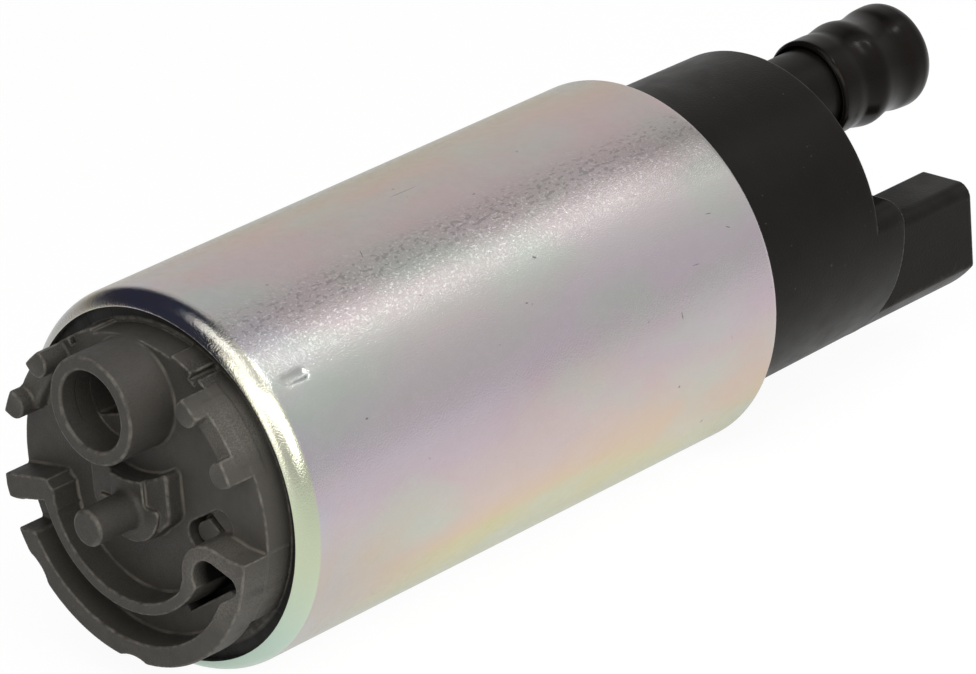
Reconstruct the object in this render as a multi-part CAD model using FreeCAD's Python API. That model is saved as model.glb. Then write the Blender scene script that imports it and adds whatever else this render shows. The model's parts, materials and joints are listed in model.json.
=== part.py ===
import FreeCAD, Part
import math
import os

from FreeCAD import Vector

# Electric in-tank fuel pump: a rolled steel shell that clamps an impeller pump at the
# inlet end, a two-pole motor in the middle and an outlet cover with its valves.
# Millimetres. X runs along the pump from the inlet to the outlet, Z is up, and angles
# about X are in degrees from +Y towards +Z. While a piece is modelled, X is counted from
# the plane of the shell's front lip; the last step moves the origin to the middle of the
# shell, on its axis, which is where a clamp holds the pump.

# Fits between pieces
SLIP = 0.05             # a cover, magnet or frame inside the shell
RUNNING = 0.03          # shaft in its bushes
GUIDE = 0.10            # brush in its guide, poppet stem in its retainer
AXIAL_PLAY = 0.15       # impeller between its two faces
ROTOR_GAP = 0.30        # impeller rim and other turning rims
TOUCH = 0.05            # brush on the commutator, ball and poppet off their seats
CAP_GAP = 0.20          # soft cap over the barb

# Cutting tools
REACH = 60.0            # longer than the pump is wide
PAST = 1.0              # how far a cutter runs past what it cuts

# Steel shell
shell_r = 19.0
shell_wall = 1.1
shell_length = 65.6
front_lip = 1.5         # how far the front edge is rolled in
rear_lip = 2.4          # how far the rear edge is rolled in
lip_thickness = 1.0
roll_length = 1.5       # from the lip plane to the line where the roll starts
roll_bevel = 0.45
roll_groove = 0.15
rear_bevel = 0.6
dent_angle = 138.0      # punched mark on the shell
dent_x = 5.0
dent_length = 3.4
dent_width = 1.1
dent_round = 0.5
dent_depth = 0.35

# Inlet cover, outside face
rim_step = 1.3          # from the lip's opening to the round face that stands out of it
floor_stand = 2.1       # floor in front of the lip plane
wall_height = 3.1       # walls and ribs above the floor
ledge_height = 1.5
outer_wall = 2.2
channel_width = 2.9
inner_wall = 1.3
tab_angle = -7.5
tab_width = 2.4
channel_mouth_z = -6.2
outer_wall_span = (187.5, 336.0)
inner_wall_start = 222.0
channel_span = (208.0, 345.0)
hook_z = -5.0           # the hook's centre lies on the channel's inner edge
pocket_r = 2.1
hook_wall = 1.5
pocket_reach = 2.6      # from the hook's centre out to the pocket's narrow end
pocket_rise = 0.3
pocket_tip_r = 0.95
pocket_depth = 3.4      # below the floor
land_top_z = -1.9
rib_angles = (25.0, 49.2, 130.8, 155.0)
rib_width = 2.5
rib_length = 2.2
ledge_width = 2.4
scallop_angles = (-38.3, -88.5)
scallop_r = 4.0
scallop_depth = 0.5
side_recess = 0.8
recess_top = (70.5, 109.5)
recess_top_depth = 0.4
recess_slots = ((57.5, 60.5), (119.5, 122.5))
recess_low = ((216.0, 250.0), (290.0, 324.0))

# Inlet tube, block and strainer post
tube_r = 5.4
tube_rim_gap = 0.45     # from the tube's outside to the rim
tube_bore_r = 3.95
tube_height = 5.7       # above the floor
tube_edge = 0.35
shelf_depth = 3.85      # from the mouth to the half-moon shelf
shelf_offset = 1.5      # shelf edge below the bore axis
shelf_tilt = 16.0
block_half_width = 5.2
block_height = 1.85
block_top_r = 8.1       # hollow upper side, about the inlet tube
block_corner_z = -1.1
block_lobe_r = 4.25
block_lobe_angle = -38.0  # where the slanted shoulder meets the lobe
block_round = 1.0       # upper corners
pad_step = 0.4
pad_stem_half = 2.2
pad_lobe_r = 4.05
pad_shoulder_z = -0.1
post_z = -0.8
post_r = 1.85
post_height = 7.6       # above the floor
post_edge = 0.5
post_foot = 0.5
vent_y = -8.6
vent_z = -1.55
vent_angle = 150.0
vent_length = 6.4
vent_width = 2.95
vent_depth = 2.2
vent_island_inset = 0.6 # island inside the vent, from its wall
vent_island_drop = 0.8  # island's top below the floor
vent_slot = 0.9         # slot across the island
vent_slot_turn = 130.0

# Impeller and its two faces
cover_back_x = 5.2      # joint plane between inlet cover and pump casing
impeller_width = 3.5
ring_wall = 2.55        # pump casing outside the impeller
balance_holes = 6
balance_hole_r = 0.9
balance_circle_r = 8.6
vane_count = 37
vane_gap = 1.55
vane_length = 2.6
vane_shelf = 1.6        # from the rim to where the web starts to curve outwards
vane_web = 0.7
flow_width = 2.8
flow_depth = 1.4
inlet_angle = 90.0
outlet_angle = 45.0
channel_lead = 6.0        # degrees that the channel runs past the middle of each port
casing_floor = 4.2
casing_port_r = 1.35
casing_hub_r = 7.0
casing_hub_length = 3.0
casing_skirt = 5.8
skirt_wall = 1.7
skirt_window = 34.0
casing_window_lip = 1.5
bush_wall = 2.0
bush_recess = 0.6
thrust_pin_r = 1.5
thrust_pin_length = 3.6

# Motor
shaft_r = 2.5
shaft_flat = 0.6
core_inset = 3.0        # from the magnets' front end to the core
air_gap = 0.7
shaft_chamfer = 0.4
slot_count = 8
slot_mouth = 1.6
slot_tip = 1.5          # steel left outside each round slot
tooth_width = 2.12      # least width between two slots
insulator = 1.0
insulator_step = 0.4
winding_gap = 0.10
winding_overhang = 3.6
winding_inner_r = 4.2
winding_step = 0.9      # end turns below the core's rim
winding_round = 1.2
magnet_thickness = 5.65
magnet_half_angle = 62.0
clip_thickness = 0.6
clip_length = 24.0
clip_leg = 3.2
commutator_r = 9.2
commutator_hub = 4.2
commutator_face = 2.2
commutator_bore_r = 4.4
commutator_plate = 1.6
commutator_step = 0.6   # hub sleeve below the segments' face and bore
segment_count = 8
segment_gap = 0.5

# Bearing frame with the brush guides
frame_skirt = 7.2
frame_plate = 2.8
frame_hub_wall = 0.9
frame_hub_floor = 1.0
frame_gate_lip = 1.5
frame_stand = 1.2       # plate behind the commutator's face
window_angles = (90.0, 230.0, 310.0)
window_depth = 4.45     # from the shell's bore to the middle of each window
window_length = 8.0
window_width = 3.4
frame_bush_length = 4.4
frame_bush_wall = 1.1
brush_radial = 4.0
brush_tangent = 5.0
brush_length = 7.0
brush_inner_r = 4.75
brush_spring_length = 6.4
guide_wall = 0.9
guide_hole_r = 0.8
spring_inset = 0.1
choke_angle = 43.0
choke_inset = 2.85      # from the cover's inside to the choke's axis
choke_core_r = 1.2
choke_coil_wall = 0.56
choke_core_end = 0.4    # bare core beyond the coil
choke_core_length = 9.0
choke_cup = 1.2
choke_cup_wall = 1.2

# Outlet cover
cover_flange = 3.6
cover_gap = 0.25        # between the drum and the rolled rear edge
cover_draft = 0.25      # the drum is that much smaller at its far end
cover_stand = 18.4      # drum's upper end behind the shell
lobe_length = 4.0
lobe_drop = 2.63        # lobe's flat top below the nipple's neck
lobe_corner = 2.2
lobe_ease = 0.15
cover_wall = 1.75
cover_floor = 2.0
seal_section_r = 0.8
nipple_inset = 6.77     # from the drum's edge to the nipple's axis
nipple_r = 4.55
nipple_bore_r = 3.0
nipple_length = 20.4
nipple_tip = 0.5
barb_height = 0.2
barb_lead = 0.3
barb_setback = 6.0
barb_length = 3.0
valve_depth = 6.4       # valve seat in front of the drum's end
valve_seat_r = 2.0
valve_seat_wall = 1.4
valve_boss_wall = 1.6
poppet_gap = 0.4        # poppet in the nipple's bore
poppet_head = 1.6
poppet_stem_r = 0.9
poppet_stem_length = 9.2
check_spring_length = 6.0
check_spring_wire_r = 0.2
retainer_length = 1.8
retainer_rim = 0.6
retainer_hub = 0.7
retainer_spoke = 0.7
relief_y = 8.0
relief_z = -6.0
relief_bore_r = 2.0
relief_seat_r = 1.1
relief_depth = 5.0      # seat in front of the drum's end
relief_seat_wall = 1.2
relief_boss_wall = 1.3
relief_ball_r = 1.5
relief_plug = 1.6
relief_plug_hole_r = 0.7
relief_spring_wire_r = 0.2

# Connector shroud
plug_inset = 4.1        # from the drum's edge to the shroud's outer side
plug_width = 6.33
plug_top_z = -1.7
plug_length = 15.0
plug_corner = 1.5
plug_inner_corner = 0.3
plug_wall = 1.0
plug_depth = 12.0
blade_width = 2.8
blade_thickness = 0.8
blade_z = (-5.0, -9.2)
blade_recess = 4.5
blade_tail = 8.0        # blades in front of the drum's end

# Soft cap pushed over the nipple
cap_grip = 12.9         # how far the cap reaches back over the nipple
cap_length = 14.6
cap_end_wall = 1.0
cap_wall = 0.38
cap_groove = 0.13
cap_bulge = 0.3
cap_swell = 0.08
cap_rim_length = 1.4
cap_groove_x = 4.0      # from the rim's edge to the groove behind it
cap_bulge_lead = 0.8    # bulge in front of the barb, behind it, and its tail
cap_bulge_top = 1.0
cap_bulge_tail = 2.4
cap_round = 1.5

# Springs
spring_wire_r = 0.22
spring_turns = 4
valve_spring_turns = 3
spring_end_inset = 1.6   # end turns inside the ends, in wire radii

# Worked out from the sizes above
bore_r = shell_r - shell_wall
inside_r = bore_r - SLIP
front_opening_r = shell_r - front_lip
rear_opening_r = shell_r - rear_lip
rim_r = front_opening_r - rim_step
channel_outer_r = rim_r - outer_wall
channel_inner_r = channel_outer_r - channel_width
hook_y = -channel_inner_r
tube_z = rim_r - tube_rim_gap - tube_r
floor_x = -floor_stand
wall_x = floor_x - wall_height
flange_x = lip_thickness

impeller_r = inside_r - ring_wall - ROTOR_GAP
flow_outer_r = impeller_r
flow_inner_r = flow_outer_r - flow_width
impeller_x = cover_back_x + AXIAL_PLAY
casing_floor_x = impeller_x + impeller_width + AXIAL_PLAY
casing_back_x = casing_floor_x + casing_floor
magnet_x = casing_back_x + casing_skirt

flange_end_x = shell_length - lip_thickness
frame_back_x = flange_end_x - cover_flange
frame_plate_x = frame_back_x - frame_plate
frame_skirt_x = frame_plate_x - frame_skirt
magnet_length = frame_skirt_x - magnet_x
magnet_inner_r = inside_r - magnet_thickness
skirt_inner_r = inside_r - skirt_wall
core_r = magnet_inner_r - air_gap
slot_sine = math.sin(math.pi / slot_count)
slot_centre_r = (core_r - slot_tip + tooth_width / 2) / (1 + slot_sine)
slot_r = slot_centre_r * slot_sine - tooth_width / 2
winding_outer_r = core_r - winding_step
contact_x = frame_plate_x - frame_stand
segment_x = contact_x - commutator_face
winding_end_x = segment_x - commutator_hub
core_x = magnet_x + core_inset
core_end_x = winding_end_x - winding_overhang - insulator
bush_r = shaft_r + RUNNING
shaft_end_x = frame_plate_x + frame_bush_length - TOUCH
brush_x = contact_x + TOUCH
brush_end_x = brush_x + brush_length
brush_middle = brush_inner_r + brush_radial / 2
spring_x = brush_end_x + TOUCH
guide_end_x = spring_x + brush_spring_length

cover_root_r = rear_opening_r - cover_gap
cover_end_r = cover_root_r - cover_draft
cavity_r = cover_root_r - cover_wall
seal_x = flange_end_x - cover_flange / 2
seal_inner_r = bore_r - 2 * seal_section_r
cover_end_x = shell_length + cover_stand
lobe_end_x = cover_end_x + lobe_length
nipple_z = cover_end_r - nipple_inset
lobe_top_z = nipple_z - nipple_r - lobe_drop
nipple_end_x = cover_end_x + nipple_length
barb_r = nipple_r + barb_height
barb_x = nipple_end_x - barb_setback
valve_seat_x = cover_end_x - valve_depth
seat_face_x = valve_seat_x + valve_seat_wall
poppet_r = nipple_bore_r - poppet_gap
retainer_x = seat_face_x + TOUCH + poppet_head + check_spring_length
relief_seat_x = cover_end_x - relief_depth
relief_end_x = lobe_end_x - relief_plug
plug_outer_y = plug_inset - cover_end_r
plug_inner_y = plug_outer_y + plug_width
plug_end_x = lobe_end_x + plug_length
choke_r = cavity_r - choke_inset
choke_y = choke_r * math.cos(math.radians(choke_angle))
choke_z = choke_r * math.sin(math.radians(choke_angle))
cap_bore_r = barb_r + CAP_GAP
cap_rim_r = cap_bore_r + cap_wall
cap_rim_x = nipple_end_x - cap_grip
cap_end_x = cap_rim_x + cap_length


def polar(radius, degrees):
    """Y and Z of a point at a radius and an angle about X."""
    turn = math.radians(degrees)
    return radius * math.cos(turn), radius * math.sin(turn)


def rod(x0, x1, radius, y=0.0, z=0.0):
    return Part.makeCylinder(radius, x1 - x0, Vector(x0, y, z), Vector(1, 0, 0))


def tube(x0, x1, outer, inner, y=0.0, z=0.0):
    return rod(x0, x1, outer, y, z).cut(rod(x0 - PAST, x1 + PAST, inner, y, z))


def box(x0, x1, y0, y1, z0, z1):
    return Part.makeBox(x1 - x0, y1 - y0, z1 - z0, Vector(x0, y0, z0))


def spun(shape, degrees):
    """A copy turned about the pump's axis."""
    turned_shape = shape.copy()
    turned_shape.rotate(Vector(0, 0, 0), Vector(1, 0, 0), degrees)
    return turned_shape


def face_of(place, start, steps):
    """Flat face from a start point and steps; a step is a point, or (through, end) for an arc."""
    edges = []
    here = start
    for step in list(steps) + [start]:
        through, end = step if isinstance(step[0], tuple) else (None, step)
        if through is not None:
            edges.append(Part.Arc(place(here), place(through), place(end)).toShape())
        elif math.dist(here, end) > 1e-6:
            edges.append(Part.LineSegment(place(here), place(end)).toShape())
        here = end
    return Part.Face(Part.Wire(edges))


def turned(start, *steps):
    """Solid of revolution about X from a profile in (x, radius)."""
    profile = face_of(lambda p: Vector(p[0], 0, p[1]), start, steps)
    return profile.revolve(Vector(0, 0, 0), Vector(1, 0, 0), 360)


def prism(x0, x1, start, *steps):
    """Solid from an outline in (y, z), pulled along X."""
    outline = face_of(lambda p: Vector(x0, p[0], p[1]), start, steps)
    return outline.extrude(Vector(x1 - x0, 0, 0))


def sector(x0, x1, inner, outer, start, end):
    """Part of a flat ring between two angles."""
    middle = (start + end) / 2
    return prism(x0, x1, polar(inner, start), polar(outer, start),
                 (polar(outer, middle), polar(outer, end)), polar(inner, end),
                 (polar(inner, middle), polar(inner, start)))


def stadium(x0, x1, y, z, length, width, degrees):
    """Rounded slot about (y, z), its long side at an angle."""
    half = (length - width) / 2
    body = box(x0, x1, -half, half, -width / 2, width / 2)
    shape = body.fuse([rod(x0, x1, width / 2, -half), rod(x0, x1, width / 2, half)])
    shape.rotate(Vector(0, 0, 0), Vector(1, 0, 0), degrees)
    shape.translate(Vector(0, y, z))
    return shape


def hull_of_circles(x0, x1, a, ra, b, rb):
    """Outline drawn round two circles of different size, as a prism."""
    span = math.dist(a, b)
    heading = math.degrees(math.atan2(b[1] - a[1], b[0] - a[0]))
    lean = math.degrees(math.acos((ra - rb) / span))

    def on(centre, radius, degrees):
        y, z = polar(radius, degrees)
        return centre[0] + y, centre[1] + z

    return prism(x0, x1, on(a, ra, heading + lean), (on(a, ra, heading + 180), on(a, ra, heading - lean)),
                 on(b, rb, heading - lean), (on(b, rb, heading), on(b, rb, heading + lean)))


def steel_shell():
    """Drawn tube, rolled in over the covers at both ends, with one punched mark."""
    shoulder = shell_length - lip_thickness
    body = turned(
        (0.0, front_opening_r), (0.0, shell_r - roll_length), (roll_bevel, shell_r - roll_bevel),
        (roll_length, shell_r - roll_groove), (roll_length + roll_groove, shell_r),
        (shell_length - rear_bevel, shell_r), (shell_length, shell_r - rear_bevel),
        (shell_length, rear_opening_r), (shoulder, rear_opening_r), (shoulder, bore_r),
        (lip_thickness, bore_r), (lip_thickness, front_opening_r))
    y, z = polar(shell_r - dent_depth, dent_angle)
    mark = Part.makeBox(dent_length, dent_width, 2 * dent_depth,
                        Vector(dent_x - dent_length / 2, -dent_width / 2, 0))
    mark = mark.makeFillet(min(dent_round, dent_width * 0.45), [e for e in mark.Edges if is_upright(e)])
    mark.rotate(Vector(0, 0, 0), Vector(1, 0, 0), dent_angle - 90)
    mark.translate(Vector(0, y, z))
    return body.cut(mark)


def is_upright(edge):
    """True for a straight edge along Z."""
    ends = [v.Point for v in edge.Vertexes]
    return len(ends) == 2 and abs(ends[0].x - ends[1].x) + abs(ends[0].y - ends[1].y) < 1e-6


def is_along_x(edge):
    """True for a straight edge along X."""
    ends = [v.Point for v in edge.Vertexes]
    return len(ends) == 2 and abs(ends[0].y - ends[1].y) + abs(ends[0].z - ends[1].z) < 1e-6


def raised_walls():
    """The two curved walls, the hook between them and its land, above the floor."""
    wall_inner_r = channel_inner_r - inner_wall
    outer = sector(wall_x, floor_x, channel_outer_r, rim_r, *outer_wall_span)
    inner = sector(wall_x, floor_x, wall_inner_r, channel_inner_r, inner_wall_start, 360.0 + tab_angle)
    hook = rod(wall_x, floor_x, pocket_r + hook_wall, hook_y, hook_z)
    land = box(wall_x, floor_x, -rim_r, hook_y, hook_z - pocket_r, land_top_z)
    tab = box(wall_x, floor_x, wall_inner_r, rim_r, -tab_width / 2, tab_width / 2)
    tab.rotate(Vector(0, 0, 0), Vector(1, 0, 0), tab_angle)
    walls = outer.fuse([inner, hook, land, tab])
    x0, x1 = wall_x - PAST, floor_x + PAST
    channel = sector(x0, x1, channel_inner_r, channel_outer_r, *channel_span)
    above_mouth = box(x0, x1, channel_inner_r, rim_r + PAST, channel_mouth_z, channel_mouth_z + channel_width)
    walls = walls.cut([channel, pocket(x0), above_mouth])
    return walls.common(rod(x0, x1, rim_r))


def pocket(x0):
    """Deep pocket inside the hook."""
    return hull_of_circles(x0, floor_x + pocket_depth, (hook_y, hook_z), pocket_r,
                           (hook_y - pocket_reach, hook_z + pocket_rise), pocket_tip_r)


def rim_ribs():
    """Four short ribs on the rim, and the low ledge between each two."""
    pieces = []
    for angle in rib_angles:
        nose_r = rim_r - rib_length + rib_width / 2
        rib = box(wall_x, floor_x, nose_r, rim_r + PAST, -rib_width / 2, rib_width / 2)
        rib = rib.fuse(rod(wall_x, floor_x, rib_width / 2, nose_r))
        pieces.append(spun(rib, angle).common(rod(wall_x - PAST, floor_x + PAST, rim_r)))
    for first, last in (rib_angles[:2], rib_angles[2:]):
        pieces.append(sector(floor_x - ledge_height, floor_x, rim_r - ledge_width, rim_r, first, last))
    return pieces


def centre_block():
    """Shield-shaped block under the post, with its thin stepped pad."""
    top_y = block_half_width
    top_z = tube_z - math.sqrt(block_top_r ** 2 - top_y ** 2)
    lobe_y, lobe_z = polar(block_lobe_r, block_lobe_angle)
    low = prism(floor_x - block_height, floor_x, (-top_y, top_z),
                ((0.0, tube_z - block_top_r), (top_y, top_z)), (top_y, block_corner_z), (lobe_y, lobe_z),
                ((0.0, -block_lobe_r), (-lobe_y, lobe_z)), (-top_y, block_corner_z))
    corners = [e for e in low.Edges if is_along_x(e) and e.BoundBox.ZMin > block_corner_z + PAST]
    low = low.makeFillet(block_round, corners)
    pad_x = floor_x - block_height - pad_step
    above_lobe = box(pad_x - PAST, floor_x + PAST, -REACH, REACH, pad_shoulder_z, REACH)
    lobe = rod(pad_x, floor_x, pad_lobe_r).cut(above_lobe)
    stem = box(pad_x, floor_x, -pad_stem_half, pad_stem_half, pad_shoulder_z - pad_stem_half, tube_z)
    stem = stem.cut(rod(pad_x - PAST, floor_x + PAST, block_top_r, 0.0, tube_z))
    return low.fuse([lobe, stem])


def strainer_post():
    """Round post that a strainer's clip presses on."""
    tip_x = floor_x - post_height
    foot_x = floor_x - block_height - pad_step
    post = turned((tip_x, 0.0), (tip_x, post_r - post_edge), (tip_x + post_edge, post_r),
                  (foot_x - post_foot, post_r), (foot_x, post_r + post_foot), (floor_x, post_r + post_foot),
                  (floor_x, 0.0))
    post.translate(Vector(0, 0, post_z))
    return post


def inlet_tube():
    """Stub tube that feeds the impeller."""
    mouth_x = floor_x - tube_height
    stub = turned((mouth_x, 0.0), (mouth_x, tube_r - tube_edge), (mouth_x + tube_edge, tube_r),
                  (floor_x, tube_r), (floor_x, 0.0))
    stub.translate(Vector(0, 0, tube_z))
    return stub


def inlet_port():
    """Bore of the inlet tube: round as far as the shelf, then only the part above its edge."""
    mouth_x = floor_x - tube_height
    shelf_x = mouth_x + shelf_depth
    bore = rod(mouth_x - PAST, shelf_x, tube_bore_r)
    through = rod(shelf_x - PAST, cover_back_x + PAST, tube_bore_r)
    below = box(shelf_x - 2 * PAST, cover_back_x + 2 * PAST, -REACH, REACH, -REACH, -shelf_offset)
    below.rotate(Vector(0, 0, 0), Vector(1, 0, 0), -shelf_tilt)
    port = bore.fuse(through.cut(below))
    port.translate(Vector(0, 0, tube_z))
    return port


def vent():
    """Oval recess beside the hook's wall, with an island left standing in it and a slot across that."""
    end_x = floor_x + vent_depth
    hole = stadium(floor_x - PAST, end_x, vent_y, vent_z, vent_length, vent_width, vent_angle)
    island_length = vent_length - 2 * vent_island_inset
    island_width = vent_width - 2 * vent_island_inset
    island = stadium(floor_x + vent_island_drop, end_x + PAST, vent_y, vent_z, island_length, island_width,
                     vent_angle)
    slot = box(floor_x, end_x + PAST, -vent_slot / 2, vent_slot / 2, -vent_width, vent_width)
    slot.rotate(Vector(0, 0, 0), Vector(1, 0, 0), vent_slot_turn)
    slot.translate(Vector(0, vent_y, vent_z))
    hook_foot = rod(floor_x - PAST, end_x + PAST, pocket_r + hook_wall, hook_y, hook_z)
    return hole.cut([island.cut(slot), hook_foot])


def flow_channel(x0, x1):
    """Channel beside the impeller's vanes, broken by the stripper between outlet and inlet."""
    end_angle = 360.0 + outlet_angle + channel_lead
    return sector(x0, x1, flow_inner_r, flow_outer_r, inlet_angle - channel_lead, end_angle)


def inlet_cover():
    """Moulded cover: walls, ribs, post and inlet tube outside, pump channel inside."""
    disc = rod(floor_x, flange_x, rim_r).fuse(rod(flange_x, cover_back_x, inside_r))
    cover = disc.fuse([raised_walls(), centre_block(), strainer_post(), inlet_tube()] + rim_ribs())
    cuts = [inlet_port(), pocket(floor_x - PAST),
            flow_channel(cover_back_x - flow_depth, cover_back_x + PAST),
            rod(cover_back_x - thrust_pin_length, cover_back_x + PAST, thrust_pin_r)]
    for angle in scallop_angles:
        y, z = polar(rim_r - scallop_depth + scallop_r, angle)
        cuts.append(rod(wall_x - PAST, flange_x, scallop_r, y, z))
    cuts.append(sector(floor_x - PAST, flange_x, rim_r - recess_top_depth, rim_r + PAST, *recess_top))
    for first, last in recess_slots + recess_low:
        cuts.append(sector(floor_x, flange_x, rim_r - side_recess, rim_r + PAST, first, last))
    cuts.append(vent())
    body = cover.cut(cuts[0])
    for cutter in cuts[1:]:
        body = body.cut(cutter)
    return body.removeSplitter()


def impeller():
    """Regenerative impeller: vanes on both sides of a thin web, with a D-shaped hub bore."""
    x1 = impeller_x + impeller_width
    wheel = rod(impeller_x, x1, impeller_r)
    root_r = impeller_r - vane_length
    shelf_r = impeller_r - vane_shelf
    web = (impeller_width - vane_web) / 2
    sides = []
    for face, inward in ((impeller_x, 1), (x1, -1)):
        cutter = face_of(lambda p: Vector(p[0], -vane_gap / 2, p[1]), (face - inward, root_r),
                         [(face, root_r), (face + inward * web, shelf_r),
                          (face + inward * web, impeller_r + PAST), (face - inward, impeller_r + PAST)])
        sides.append(cutter.extrude(Vector(0, vane_gap, 0)))
    cutters = [spun(side, 360.0 * n / vane_count) for n in range(vane_count) for side in sides]
    wheel = wheel.cut(cutters)
    hole = rod(impeller_x - PAST, x1 + PAST, balance_hole_r, balance_circle_r)
    holes = [spun(hole, 360.0 * n / balance_holes) for n in range(balance_holes)]
    return wheel.cut([d_shaft(impeller_x - PAST, x1 + PAST, SLIP)] + holes)


def d_shaft(x0, x1, clearance=0.0):
    """Shaft length with its flat, for the shaft's end and the hub bore."""
    flat_z = shaft_r - shaft_flat + clearance
    return rod(x0, x1, shaft_r + clearance).cut(box(x0 - PAST, x1 + PAST, -REACH, REACH, flat_z, REACH))


def skirt_gate(x0, x1, middle):
    """Space of one window through a skirt's wall."""
    half = skirt_window / 2
    return sector(x0, x1, skirt_inner_r - PAST, bore_r + PAST, middle - half, middle + half)


def pump_casing():
    """Casing behind the impeller: ring wall, channel floor, bush hub and skirt to the magnets."""
    ring = tube(cover_back_x, casing_floor_x, inside_r, impeller_r + ROTOR_GAP)
    floor = rod(casing_floor_x, casing_back_x, inside_r)
    hub = rod(casing_back_x, casing_back_x + casing_hub_length, casing_hub_r)
    skirt = tube(casing_back_x, magnet_x, inside_r, skirt_inner_r)
    windows = [skirt_gate(casing_back_x + casing_window_lip, magnet_x + PAST, a) for a in (0.0, 180.0)]
    casing = ring.fuse([floor, hub, skirt.cut(windows)])
    middle_r = (flow_inner_r + flow_outer_r) / 2
    port = rod(casing_floor_x - PAST, casing_back_x + PAST, casing_port_r, *polar(middle_r, outlet_angle))
    return casing.cut([flow_channel(casing_floor_x - PAST, casing_floor_x + flow_depth), port,
                       rod(casing_floor_x - PAST, magnet_x, shaft_r + bush_wall)]).removeSplitter()


def shaft():
    """Steel shaft, ground flat where it drives the impeller."""
    plain = turned((casing_floor_x, 0.0), (casing_floor_x, shaft_r), (shaft_end_x - shaft_chamfer, shaft_r),
                   (shaft_end_x, shaft_r - shaft_chamfer), (shaft_end_x, 0.0))
    return d_shaft(impeller_x, casing_floor_x).fuse(plain).removeSplitter()


def armature_core():
    """Stack of steel sheets with round slots that open at the rim."""
    x0, x1 = core_x - PAST, core_end_x + PAST
    mouth = box(x0, x1, slot_centre_r, core_r + PAST, -slot_mouth / 2, slot_mouth / 2)
    slot = rod(x0, x1, slot_r, slot_centre_r).fuse(mouth)
    slots = [spun(slot, 360.0 * n / slot_count) for n in range(slot_count)]
    return rod(core_x, core_end_x, core_r).cut(slots + [rod(x0, x1, shaft_r)])


def end_insulator(x0):
    """Star-shaped insulating sheet against one end of the core."""
    sheet = tube(x0, x0 + insulator, core_r - insulator_step, shaft_r + SLIP)
    notch = box(x0 - PAST, x0 + insulator + PAST, slot_centre_r - slot_r, core_r + PAST, -slot_r, slot_r)
    return sheet.cut([spun(notch, 360.0 * n / slot_count) for n in range(slot_count)])


def armature_winding():
    """Copper in the slots, joined by a rounded overhang at each end."""
    front_x = core_x - insulator
    rear_x = core_end_x + insulator
    pieces = [overhang(front_x, -1), overhang(rear_x, 1)]
    bar = rod(front_x - PAST, rear_x + PAST, slot_r - winding_gap, slot_centre_r)
    pieces += [spun(bar, 360.0 * n / slot_count) for n in range(slot_count)]
    return pieces[0].fuse(pieces[1:]).removeSplitter()


def overhang(sheet_x, way):
    """Ring of end turns on an insulating sheet, drawn in round its free end."""
    end_x = sheet_x + way * winding_overhang
    return turned((sheet_x, winding_inner_r), (sheet_x, winding_outer_r),
                  (end_x - way * winding_round, winding_outer_r), (end_x, winding_outer_r - winding_round),
                  (end_x, winding_inner_r))


def commutator_hub_piece():
    """Moulded hub that carries the commutator's segments."""
    plate_x = segment_x - commutator_plate
    plate = tube(plate_x, segment_x, commutator_r, shaft_r + SLIP)
    neck = tube(winding_end_x, plate_x, commutator_bore_r, shaft_r + SLIP)
    sleeve = tube(segment_x, contact_x - commutator_step, commutator_bore_r - commutator_step, shaft_r + SLIP)
    return plate.fuse([neck, sleeve]).removeSplitter()


def commutator_segments():
    """Flat commutator: equal sectors with a gap between each two."""
    half_gap = math.degrees(segment_gap / 2 / commutator_bore_r)
    step = 360.0 / segment_count
    first = sector(segment_x, contact_x, commutator_bore_r, commutator_r, half_gap, step - half_gap)
    return Part.makeCompound([spun(first, n * step) for n in range(segment_count)])


def magnet(middle):
    """Arc magnet against the shell."""
    return sector(magnet_x, magnet_x + magnet_length, magnet_inner_r, inside_r,
                  middle - magnet_half_angle, middle + magnet_half_angle)


def magnet_clip(middle):
    """Bent spring strip that wedges the two magnets apart."""
    half = 90.0 - magnet_half_angle
    x0 = magnet_x + (magnet_length - clip_length) / 2
    x1 = x0 + clip_length
    edge = math.degrees(clip_thickness / (inside_r - clip_leg))
    back = sector(x0, x1, inside_r - clip_thickness, inside_r, middle - half, middle + half)
    starts = (middle - half, middle + half - edge)
    legs = [sector(x0, x1, inside_r - clip_leg, inside_r, a, a + edge) for a in starts]
    return back.fuse(legs).removeSplitter()


def brush_box(side, x0, x1, grow):
    """One carbon brush, or the space it slides in, grown by a clearance or wall."""
    y0 = brush_inner_r - grow
    y1 = brush_inner_r + brush_radial + grow
    half = brush_tangent / 2 + grow
    return box(x0, x1, min(side * y0, side * y1), max(side * y0, side * y1), -half, half)


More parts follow.
